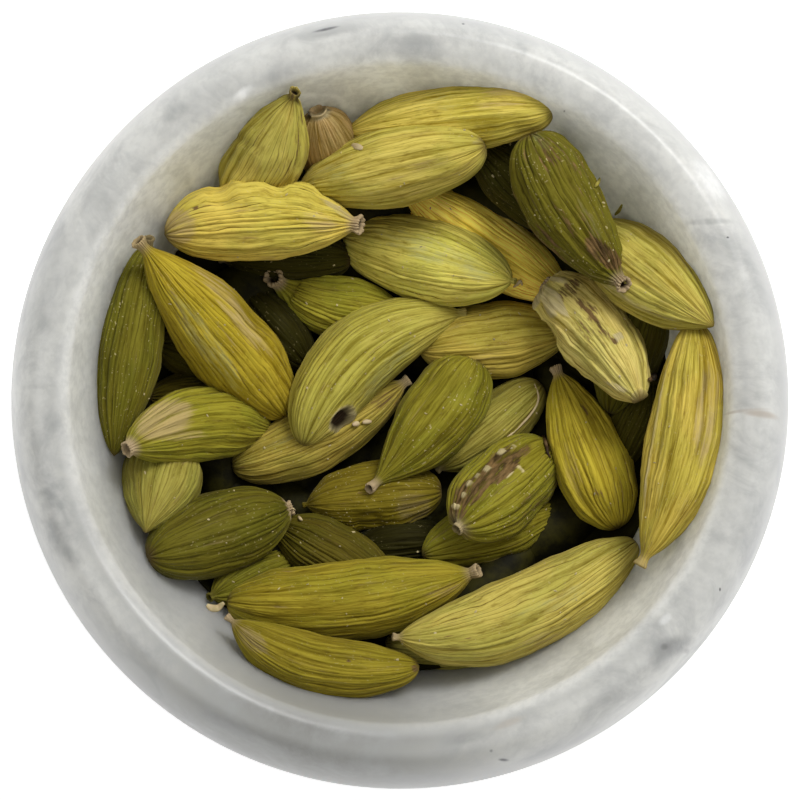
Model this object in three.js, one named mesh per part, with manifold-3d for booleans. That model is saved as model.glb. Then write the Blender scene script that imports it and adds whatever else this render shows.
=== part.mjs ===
// A dish of green cardamom: a thick round marble pinch bowl, filled with a heap of dried pods.
// Millimetres, +Z up. The origin is the centre of the bowl's flat foot.

import * as THREE from 'three';
import { mergeVertices } from 'three/addons/utils/BufferGeometryUtils.js';
import Module from 'manifold-3d';

const wasm = await Module();
wasm.setup();

// ---- driving dimensions, mm ------------------------------------------------------------

const BOWL_RADIUS = 35;           // outside, at its widest
const BOWL_HEIGHT = 34;           // foot to rim
const WIDEST_HEIGHT = 24;         // height of the widest point
const FOOT_RADIUS = 21;           // the flat disc that the bowl stands on
const CAVITY_GIRTH = 30.3;        // half width of the ellipse that the cavity's wall follows
const CAVITY_RISE = 34;           // half height of that ellipse, whose middle lies over the rim
const EDGE_ANGLE = 0.27;          // how far down the ellipse, in radians, the rounded edge ends
const RIM_FLAT_RADIUS = 31.8;     // where the flat of the rim starts to roll over outwards
const RIM_EDGE_ROUND = 1.6;       // rounding of the rim's inner edge

const CORE_HEIGHT = 15;           // middle of the packed core, under the pods that show
const CORE_RISE = 3;              // how much higher the core is at the wall
const CONTENTS_GAP = 0.3;         // between the heap and the marble
const POD_THICKNESS = 0.88;       // a pod's height over its width
const POD_NESTING = 0.72;         // pods are ribbed and yield, so they settle closer than round ones
const WALL_NESTING = 0.76;        // the same, against the marble

const BOWL_SEGMENTS = 64;
const OUTSIDE_STEPS = 6;          // steps in each curved stretch of the bowl's profile
const EDGE_STEPS = 3;
const CAVITY_STEPS = 8;
const POD_SIDES = 8;
const POD_STATIONS = [0, 0.07, 0.22, 0.45, 0.7, 0.9, 1];
const BELLY_SHIFT = 0.95;         // moves a pod's belly towards its stem
const BELLY_FULLNESS = 0.55;      // less is blunter at both ends
const LEAST_REACH = 0.2;          // at both ends of a pod, as a share of its half width
const CONTACT_COUNT = 9;          // round contacts along a pod, for settling it
const SETTLING_ROUNDS = 2;
const TOLERANCE = 1e-6;

// ---- where each pod lies ---------------------------------------------------------------
// Places and widths are read from above on the photograph's own grid of 800 steps each way.
// GRID_PER_MM is its scale at GRID_HEIGHT. What is higher is nearer to the viewer, so it looks
// larger, and the grid's centre moves by GRID_LEAN for each mm. Each pod runs from its stem to its
// tip, by way of a middle point where it is bent. The list goes from the bottom of the heap up.

const GRID_PER_MM = 11.08;
const GRID_CENTRE = new THREE.Vector2(400.5, 400.3);
const GRID_HEIGHT = 24;
const GRID_LEAN = new THREE.Vector2(0.2, -0.88);
const VIEW_DISTANCE = 454;

const PODS = [
  { stem: [218, 257], tip: [350, 258], width: 58 },
  { stem: [312, 372], tip: [238, 288], width: 60 },
  { stem: [262, 396], tip: [148, 398], width: 56 },
  { stem: [150, 342], tip: [252, 372], width: 56 },
  { stem: [345, 552], tip: [452, 540], width: 56 },
  { stem: [210, 598], tip: [300, 560], width: 56 },
  { stem: [520, 644], tip: [385, 644], width: 54 },
  { stem: [653, 378], tip: [612, 470], width: 52 },
  { stem: [563, 508], tip: [422, 556], width: 66 },
  { stem: [468, 132], tip: [575, 228], width: 70 },
  { stem: [655, 272], tip: [610, 414], width: 68 },
  { stem: [150, 238], middle: [131, 345], tip: [115, 456], width: 64 },
  { stem: [174, 438], tip: [147, 533], width: 82 },
  { stem: [318, 108], tip: [350, 205], width: 60 },
  { stem: [297, 90], middle: [268, 152], tip: [233, 216], width: 76 },
  { stem: [343, 132], middle: [450, 113], tip: [556, 107], width: 70 },
  { stem: [398, 182], tip: [565, 296], width: 75 },
  { stem: [574, 330], tip: [418, 350], width: 78 },
  { stem: [408, 380], middle: [314, 438], tip: [231, 467], width: 66 },
  { stem: [436, 472], tip: [541, 385], width: 60 },
  { stem: [302, 506], middle: [372, 497], tip: [441, 492], width: 70 },
  { stem: [398, 594], tip: [276, 526], width: 66 },
  { stem: [228, 616], middle: [315, 664], tip: [420, 666], width: 62 },
  { stem: [641, 566], middle: [686, 450], tip: [696, 320], width: 78 },
  { stem: [585, 225], tip: [716, 326], width: 84 },
  { stem: [272, 279], middle: [332, 306], tip: [398, 312], width: 66 },
  { stem: [516, 281], tip: [344, 238], width: 86 },
  { stem: [296, 187], tip: [487, 143], width: 80 },
  { stem: [362, 225], middle: [258, 219], tip: [165, 234], width: 80 },
  { stem: [626, 287], middle: [571, 210], tip: [532, 133], width: 78 },
  { stem: [545, 283], middle: [598, 333], tip: [641, 401], width: 76 },
  { stem: [456, 530], tip: [549, 449], width: 84 },
  { stem: [555, 367], middle: [588, 452], tip: [618, 529], width: 78 },
  { stem: [128, 450], middle: [200, 424], tip: [266, 428], width: 75 },
  { stem: [139, 240], middle: [216, 330], tip: [284, 413], width: 86 },
  { stem: [292, 508], middle: [221, 533], tip: [150, 557], width: 84 },
  { stem: [394, 637], middle: [512, 618], tip: [636, 543], width: 80 },
  { stem: [479, 571], middle: [352, 601], tip: [228, 602], width: 80 },
  { stem: [369, 490], middle: [432, 424], tip: [474, 360], width: 80 },
  { stem: [466, 314], middle: [362, 353], tip: [303, 446], width: 82 },
];

// ---- materials -------------------------------------------------------------------------

const marble = new THREE.MeshStandardMaterial({ color: 0xc8c8c3, roughness: 0.25, metalness: 0 });
const husk = new THREE.MeshStandardMaterial({ color: 0x8b8a35, roughness: 0.65, metalness: 0 });

// ---- solids ----------------------------------------------------------------------------

// A quarter turn about a centre, from one angle to another, with its own reach across and up.
function quarterCurve(centre, across, up, fromAngle, toAngle, steps) {
  const clockwise = fromAngle > toAngle;
  return new THREE.EllipseCurve(...centre, across, up, fromAngle, toAngle, clockwise).getPoints(steps);
}

function withoutRepeats(points) {
  return points.filter((point, i) => i === 0 || point.distanceTo(points[i - 1]) > TOLERANCE);
}

function turned(profile) {
  const geometry = new THREE.LatheGeometry(withoutRepeats(profile), BOWL_SEGMENTS);
  return geometry.rotateX(Math.PI / 2);
}

// The cavity's wall leans out by WALL_LEAN where it meets the rounded edge of the rim.
const MOUTH_RADIUS = CAVITY_GIRTH * Math.cos(EDGE_ANGLE);
const WALL_LEAN = Math.atan(CAVITY_GIRTH * Math.tan(EDGE_ANGLE) / CAVITY_RISE);
const EDGE_HEIGHT = BOWL_HEIGHT - RIM_EDGE_ROUND * (1 - Math.sin(WALL_LEAN));
const CAVITY_CENTRE = EDGE_HEIGHT + CAVITY_RISE * Math.sin(EDGE_ANGLE);
const CAVITY_FLOOR = CAVITY_CENTRE - CAVITY_RISE;

function bowlGeometry() {
  const quarter = Math.PI / 2;
  const belly = quarterCurve(
    [FOOT_RADIUS, WIDEST_HEIGHT], BOWL_RADIUS - FOOT_RADIUS, WIDEST_HEIGHT, -quarter, 0, OUTSIDE_STEPS);
  const shoulder = quarterCurve(
    [RIM_FLAT_RADIUS, WIDEST_HEIGHT],
    BOWL_RADIUS - RIM_FLAT_RADIUS, BOWL_HEIGHT - WIDEST_HEIGHT, 0, quarter, OUTSIDE_STEPS);
  const innerEdge = quarterCurve(
    [MOUTH_RADIUS + RIM_EDGE_ROUND * Math.cos(WALL_LEAN), BOWL_HEIGHT - RIM_EDGE_ROUND],
    RIM_EDGE_ROUND, RIM_EDGE_ROUND, quarter, 2 * quarter - WALL_LEAN, EDGE_STEPS);
  return turned([new THREE.Vector2(0, 0), ...belly, ...shoulder, ...innerEdge, ...cavityCurve(0)]);
}

// The cavity's wall from its rounded edge down to the axis, drawn in by an inset all round.
function cavityCurve(inset) {
  return Array.from({ length: CAVITY_STEPS + 1 }, (_, i) => {
    const angle = EDGE_ANGLE + (Math.PI / 2 - EDGE_ANGLE) * i / CAVITY_STEPS;
    const outward = i < CAVITY_STEPS ? (CAVITY_GIRTH - inset) * Math.cos(angle) : 0;
    return new THREE.Vector2(outward, CAVITY_CENTRE - (CAVITY_RISE - inset) * Math.sin(angle));
  });
}

function solidOf(geometry) {
  geometry.deleteAttribute('normal');
  geometry.deleteAttribute('uv');
  const merged = mergeVertices(geometry);
  const corners = merged.index.array;
  const triangles = [];
  for (let i = 0; i < corners.length; i += 3) {
    const [a, b, c] = corners.slice(i, i + 3);
    if (a !== b && b !== c && c !== a) triangles.push(a, b, c);
  }
  return new wasm.Manifold(new wasm.Mesh({
    numProp: 3,
    vertProperties: new Float32Array(merged.attributes.position.array),
    triVerts: new Uint32Array(triangles),
  }));
}

function geometryOf(solid) {
  const mesh = solid.getMesh();
  const geometry = new THREE.BufferGeometry();
  geometry.setAttribute('position', new THREE.BufferAttribute(mesh.vertProperties, 3));
  geometry.setIndex(new THREE.BufferAttribute(mesh.triVerts, 1));
  return geometry;
}

// ---- one pod ---------------------------------------------------------------------------

function onGrid([across, down], height) {
  const above = height - GRID_HEIGHT;
  const scale = GRID_PER_MM * VIEW_DISTANCE / (VIEW_DISTANCE - above);
  const centre = GRID_CENTRE.clone().addScaledVector(GRID_LEAN, above);
  return new THREE.Vector2((across - centre.x) / scale, (centre.y - down) / scale);
}

// A pod's run in plan, where it rests at a level and a slope.
function podRun(pod, { level, slope }) {
  const stem = onGrid(pod.stem, level - slope / 2);
  const tip = onGrid(pod.tip, level + slope / 2);
  const halfway = stem.clone().add(tip).multiplyScalar(0.5);
  const middle = pod.middle ? onGrid(pod.middle, level) : halfway;
  const pull = middle.clone().multiplyScalar(2).sub(halfway);
  return new THREE.QuadraticBezierCurve(stem, pull, tip);
}

// Half of a pod's width along its run: a narrow neck at the stem, a full belly, a blunt tip.
function podReach(pod, along) {
  const half = 0.5 * pod.width / GRID_PER_MM;
  const belly = Math.sin(Math.PI * along ** BELLY_SHIFT) ** BELLY_FULLNESS;
  return half * Math.max(LEAST_REACH, belly);
}

function contactsOf(pod, rest) {
  const run = podRun(pod, rest);
  return Array.from({ length: CONTACT_COUNT }, (_, i) => {
    const along = (i + 0.5) / CONTACT_COUNT;
    return { along, place: run.getPoint(along), reach: POD_THICKNESS * podReach(pod, along) };
  });
}

// The height at which a contact touches the wall of the cavity.
function wallSupport(contact) {
  const inset = WALL_NESTING * contact.reach;
  const outward = Math.min(1, contact.place.length() / (CAVITY_GIRTH - inset));
  return CAVITY_CENTRE - (CAVITY_RISE - inset) * Math.sqrt(1 - outward ** 2);
}

// The least height at which a contact rests on the core, the wall and the pods already there.
function supportUnder(contact, laid) {
  const onCore = coreLevel(contact.place.length()) + contact.reach;
  let height = Math.max(onCore, wallSupport(contact));
  for (const below of laid) {
    const nearest = POD_NESTING * (contact.reach + below.reach);
    const gap = contact.place.distanceTo(below.place);
    if (gap < nearest) height = Math.max(height, below.height + Math.sqrt(nearest ** 2 - gap ** 2));
  }
  return height;
}

// A pod's middle comes down until one support on each side of it, or one right under it, holds it.
// It then lies as level as the supports allow.
function restOf(contacts, supports) {
  const held = contacts.map((contact, i) => ({ lever: 0.5 - contact.along, height: supports[i] }));
  let level = -Infinity;
  for (const low of held.filter((support) => support.lever >= 0)) {
    for (const high of held.filter((support) => support.lever <= 0)) {
      const span = low.lever - high.lever;
      const share = span > 0 ? low.lever / span : 0;
      level = Math.max(level, low.height + share * (high.height - low.height));
    }
  }
  const slopes = (side) => held.filter((support) => side * support.lever > 0)
    .map((support) => (level - support.height) / support.lever);
  const steepest = Math.min(...slopes(1));
  const least = Math.max(...slopes(-1));
  return { level, slope: Math.min(steepest, Math.max(least, 0)) };
}

// Lays the pods one by one. The next round places each at the height that it came to rest at.
function settle(pods) {
  let rests = pods.map(() => ({ level: GRID_HEIGHT, slope: 0 }));
  for (let round = 0; round < SETTLING_ROUNDS; round += 1) {
    const laid = [];
    rests = pods.map((pod, i) => {
      const contacts = contactsOf(pod, rests[i]);
      const rest = restOf(contacts, contacts.map((contact) => supportUnder(contact, laid)));
      for (const contact of contacts) {
        contact.height = rest.level + rest.slope * (contact.along - 0.5);
        laid.push(contact);
      }
      return rest;
    });
  }
  return rests;
}

// A pod's upper half, carried straight down to the floor of the heap.
function podColumn(pod, rest, floor) {
  const run = podRun(pod, rest);
  const rings = POD_STATIONS.map((along) => new THREE.Vector2(podReach(pod, along), along));
  const outline = [new THREE.Vector2(0, 0), ...rings, new THREE.Vector2(0, 1)];
  const column = new THREE.LatheGeometry(outline, POD_SIDES);
  const corners = column.attributes.position;
  for (let i = 0; i < corners.count; i += 1) {
    const along = corners.getY(i);
    const reach = podReach(pod, along);
    const up = corners.getZ(i);
    const isUpper = up > -TOLERANCE;
    const aside = isUpper ? corners.getX(i) : reach * Math.round(corners.getX(i) / reach);
    const place = run.getPoint(along);
    const heading = run.getTangent(along);
    place.addScaledVector(new THREE.Vector2(heading.y, -heading.x), aside);
    const level = rest.level + rest.slope * (along - 0.5);
    corners.setXYZ(i, place.x, place.y, isUpper ? level + POD_THICKNESS * up : floor);
  }
  return column;
}

// ---- the heap --------------------------------------------------------------------------

// The core is dished: it climbs towards the wall, as pods poured into a bowl do.
function coreLevel(outward) {
  return CORE_HEIGHT + CORE_RISE * (outward / MOUTH_RADIUS) ** 2;
}

function coreGeometry(floor) {
  const top = Array.from({ length: OUTSIDE_STEPS + 1 }, (_, i) => {
    const outward = MOUTH_RADIUS * (1 - i / OUTSIDE_STEPS);
    return new THREE.Vector2(outward, coreLevel(outward));
  });
  return turned([new THREE.Vector2(0, floor), new THREE.Vector2(MOUTH_RADIUS, floor), ...top]);
}

function roomGeometry() {
  const wall = cavityCurve(CONTENTS_GAP).reverse();
  const brim = new THREE.Vector2(MOUTH_RADIUS - CONTENTS_GAP, BOWL_HEIGHT);
  return turned([...wall, brim, new THREE.Vector2(0, BOWL_HEIGHT)]);
}

function heapGeometry() {
  const rests = settle(PODS);
  let heap = solidOf(coreGeometry(CAVITY_FLOOR));
  PODS.forEach((pod, i) => {
    heap = heap.add(solidOf(podColumn(pod, rests[i], CAVITY_FLOOR)));
  });
  return geometryOf(heap.intersect(solidOf(roomGeometry())));
}

// ---- the dish --------------------------------------------------------------------------

function piece(name, geometry, material) {
  const mesh = new THREE.Mesh(geometry, material);
  mesh.name = name;
  return mesh;
}

const dish = new THREE.Group();
dish.add(piece('bowl', bowlGeometry(), marble));
dish.add(piece('cardamom_heap', heapGeometry(), husk));

export default dish;
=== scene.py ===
"""A dish of green cardamom: a round marble pinch bowl filled with a loose heap of dried pods.

Laid out as a Blender add-on and run as a script. Pods are worked out in millimetres and meshes are
made in metres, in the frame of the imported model.
"""

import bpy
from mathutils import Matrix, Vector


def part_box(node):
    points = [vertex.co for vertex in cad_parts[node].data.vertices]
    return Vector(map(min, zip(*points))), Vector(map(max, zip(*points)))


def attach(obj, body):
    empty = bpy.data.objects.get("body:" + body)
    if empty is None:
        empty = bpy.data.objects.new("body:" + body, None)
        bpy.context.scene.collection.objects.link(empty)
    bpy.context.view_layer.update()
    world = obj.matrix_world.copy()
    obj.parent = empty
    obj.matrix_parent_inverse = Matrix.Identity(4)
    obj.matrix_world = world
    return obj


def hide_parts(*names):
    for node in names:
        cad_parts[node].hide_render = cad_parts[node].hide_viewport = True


bl_info = {
    "name": "Dish of green cardamom",
    "version": (1, 0, 0),
    "blender": (4, 5, 0),
    "location": "3D View > Sidebar > Cardamom",
    "description": "Makes a marble pinch bowl filled with dried green cardamom pods",
    "category": "Object",
}

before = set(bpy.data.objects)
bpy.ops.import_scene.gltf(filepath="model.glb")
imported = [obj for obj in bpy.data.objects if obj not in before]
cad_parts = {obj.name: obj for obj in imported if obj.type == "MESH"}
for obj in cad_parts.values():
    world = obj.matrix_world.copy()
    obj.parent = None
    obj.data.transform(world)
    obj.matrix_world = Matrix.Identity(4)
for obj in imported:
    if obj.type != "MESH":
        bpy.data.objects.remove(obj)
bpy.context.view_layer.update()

import math
from collections import namedtuple
from functools import reduce

import bpy
import numpy as np
from bpy.props import FloatProperty, FloatVectorProperty, IntProperty, PointerProperty
from mathutils import Vector

BOWL_LOW, BOWL_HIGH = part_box("bowl")
MM = 0.001
ROOT = "root"


# ---- settings --------------------------------------------------------------------------------


def length(name, description, default):
    return FloatProperty(
        name=name, description=description, default=default, unit="LENGTH", precision=5)


def slant(name, description, default):
    return FloatProperty(name=name, description=description, default=default, subtype="ANGLE")


def amount(name, description, default):
    return FloatProperty(name=name, description=description, default=default)


def count(name, description, default):
    return IntProperty(name=name, description=description, default=default)


def colour(name, description, default):
    return FloatVectorProperty(
        name=name, description=description, default=default, subtype="COLOR", size=3)


def settings(context):
    """The settings of the bowl, the pods and the stage."""
    scene = context.scene
    return scene.cardamom_bowl, scene.cardamom_pods, scene.cardamom_stage


class BowlSettings(bpy.types.PropertyGroup):
    radius: length("Radius", "Outside, at its widest", (BOWL_HIGH.x - BOWL_LOW.x) / 2)
    height: length("Height", "Foot to rim", BOWL_HIGH.z)
    widest_height: length("Widest height", "Height of the widest point", 0.024)
    foot_radius: length("Foot radius", "Flat disc that the bowl stands on", 0.021)
    rim_flat_radius: length("Rim flat radius", "Where the rim starts to roll over outwards", 0.0318)
    edge_round: length("Edge round", "Rounding of the rim's inner edge", 0.0016)
    girth: length("Cavity girth", "Half width of the ellipse that the wall follows", 0.0303)
    rise: length("Cavity rise", "Half height of that ellipse, centred over the rim", 0.034)
    edge_angle: slant("Edge angle", "How far down the ellipse the rounded edge ends", 0.27)
    segments: count("Segments", "Steps round the bowl", 256)
    translucency: amount("Translucency", "How much light goes a little way into the marble", 0.8)
    light_depth: length("Light depth", "How far light goes into the marble", 0.012)
    stone: colour("Stone", "White ground of the marble", (0.60, 0.60, 0.57))
    # Painted light: a whiter colour that brightens the inner wall.
    wall: colour("Inner wall", "Whiter marble inside the bowl", (0.90, 0.90, 0.86))
    cloud: colour("Cloud", "Grey clouds in the marble", (0.36, 0.365, 0.36))
    vein: colour("Vein", "Dark of the veins and pits", (0.07, 0.07, 0.075))
    stain: colour("Stain", "Warm stain beside a vein", (0.42, 0.36, 0.30))


class PodSettings(bpy.types.PropertyGroup):
    thickness: amount("Thickness", "A pod's height over its width", 0.88)
    nesting: amount("Nesting", "How close pods settle, where 1 is round and hard", 0.72)
    core_height: length("Core height", "Middle of the packed core under the pods that show", 0.015)
    core_rise: length("Core rise", "How much higher the core is at the wall", 0.003)
    collar_radius: length("Collar radius", "Flared ring at the end of a stem", 0.00072)
    lobe: amount("Lobe", "How three-sided a pod is", 0.05)
    rib_count: count("Rib count", "Ribs round one pod", 29)
    fold_count: count("Fold count", "Folds that gather at a neck", 11)
    rib_depth: length("Rib depth", "Crest to groove on a strongly ribbed pod", 0.00017)
    fold_depth: length("Fold depth", "Crest to groove of a fold", 0.00027)
    streak_depth: length("Streak depth", "Crest to groove of uneven streaks along a pod", 0.00032)
    lump_height: length("Lump height", "Unevenness over the seeds", 0.0011)
    bark_height: length("Bark height", "Roughness of a weathered husk", 0.0005)
    buried_count: count("Buried pods", "Hidden pods under those that show", 46)
    buried_length: length("Buried pod length", "End to end", 0.0165)
    buried_width: length("Buried pod width", "Across", 0.0062)
    buried_spread: length("Buried spread", "From the middle to the outermost buried pod", 0.0195)
    buried_climb: length("Buried climb", "How much higher the outermost buried pod lies", 0.0062)
    packed_reach: length("Packed reach", "How far out the packed bottom lines the wall", 0.0245)
    crumb_count: count("Crumb count", "Loose crumbs of husk on the pods", 150)
    crumb_size: length("Crumb size", "Middle half width of a crumb", 0.00011)
    golden: colour("Golden", "Ripe yellow husk", (0.55, 0.43, 0.062))
    bright: colour("Bright", "Fresh yellow-green husk", (0.48, 0.40, 0.068))
    fresh: colour("Fresh", "Yellow-green husk with a dull bloom", (0.41, 0.36, 0.056))
    olive: colour("Olive", "Dull olive husk", (0.35, 0.28, 0.020))
    green: colour("Green", "Green husk", (0.27, 0.24, 0.018))
    # Dark: a darker green husk, partly painted shade for pods low in the heap.
    dark: colour("Dark", "Dark green husk", (0.16, 0.14, 0.010))
    straw: colour("Straw", "Pale straw husk", (0.46, 0.38, 0.09))
    tan: colour("Tan", "Brown-tan husk", (0.36, 0.25, 0.085))
    patch: colour("Patch", "Dry patch on a green husk", (0.47, 0.35, 0.15))
    dust: colour("Dust", "Grey-green scurf", (0.36, 0.36, 0.15))
    stalk: colour("Stalk", "Pale dry stem collar", (0.56, 0.42, 0.25))
    scar: colour("Scar", "Brown bruise or scar", (0.13, 0.078, 0.030))
    # Painted shade: the dark inside of a stem's hollow or a split.
    hollow: colour("Hollow", "Dark inside of a stem or a split", (0.018, 0.009, 0.005))
    crumb: colour("Crumb", "Pale crumbs and shreds of husk", (0.60, 0.50, 0.26))


class StageSettings(bpy.types.PropertyGroup):
    distance: length("Camera distance", "Camera to the bowl's widest level", 0.454)
    elevation: slant("Camera elevation", "Angle above the horizon", math.radians(85.6))
    lens: amount("Lens", "Focal length in millimetres on a 36 mm sensor", 226.3)
    key_power: amount("Key power", "Watts of the soft light over the far right edge", 4.4)
    key_size: length("Key size", "Width of the round key light", 0.36)
    fill: amount("Fill", "Strength of the even light from all round", 0.30)
    fill_slope: FloatVectorProperty(
        name="Fill slope",
        description="How much stronger the even light is from the right, far side and above",
        default=(0.02, 0.04, 0.27), size=3)
    floor: colour("Floor", "Pale floor", (0.72, 0.72, 0.72))
    floor_glow: amount("Floor glow", "Lifts the floor to plain white", 0.72)


# ---- the pods that show ----------------------------------------------------------------------
# Places and widths are read from above on the photograph's own grid of 800 steps each way. What
# is nearer to the viewer looks larger and further up, so a place is worked out with its height.
# A pod runs from its stem to its tip, by way of a middle point where it is bent. The list goes
# from the bottom of the heap to the top.

GRID_PER_MM = 11.08
GRID_CENTRE = (400.5, 400.3)
GRID_HEIGHT = 24.0
GRID_LEAN = (0.2, -0.88)
VIEW_DISTANCE = 454.0
ROUNDS = 2

# A pod is widest at its belly. Its neck and lift are the length and the rise of its stem end in mm,
# and its collar is the flared ring there. Ribbed is the angle where its ribs are strongest, and a
# keel is an angle, a height in mm and how pale it is. Angles are in degrees from the top. Rough is
# how warty its husk is, and open is how dark its stem's hollow is painted, as painted shade. Shade
# scales its colour: its own tone, darker for pods low in the heap as painted shade, and lighter for
# some that lie under others as painted light.
Pod = namedtuple(
    "Pod",
    "kind stem tip width middle stem_sharp tip_sharp belly neck lift collar stalk"
    " ribs ribbed keels lump rough shade warm speck open marks",
    defaults=(None, 0.72, 0.6, 0.5, 0.9, 0.0, 0.8, 0.5,
              1.0, None, (), 1.0, 0.0, 0.0, 0.0, 0.2, 1.0, ()),
)

# A mark on a husk: where it is on the grid, its half length and half width in mm, the turn of its
# length from the right in degrees, and how strong it is. A negative dent is a swelling, tan is a
# dry patch, dust is grey-green scurf and hollow is painted shade inside a hole or a split.
Mark = namedtuple(
    "Mark", "at long wide turn dent scar pale hollow tan dust", defaults=(0, 0, 0, 0, 0, 0, 0))

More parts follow.
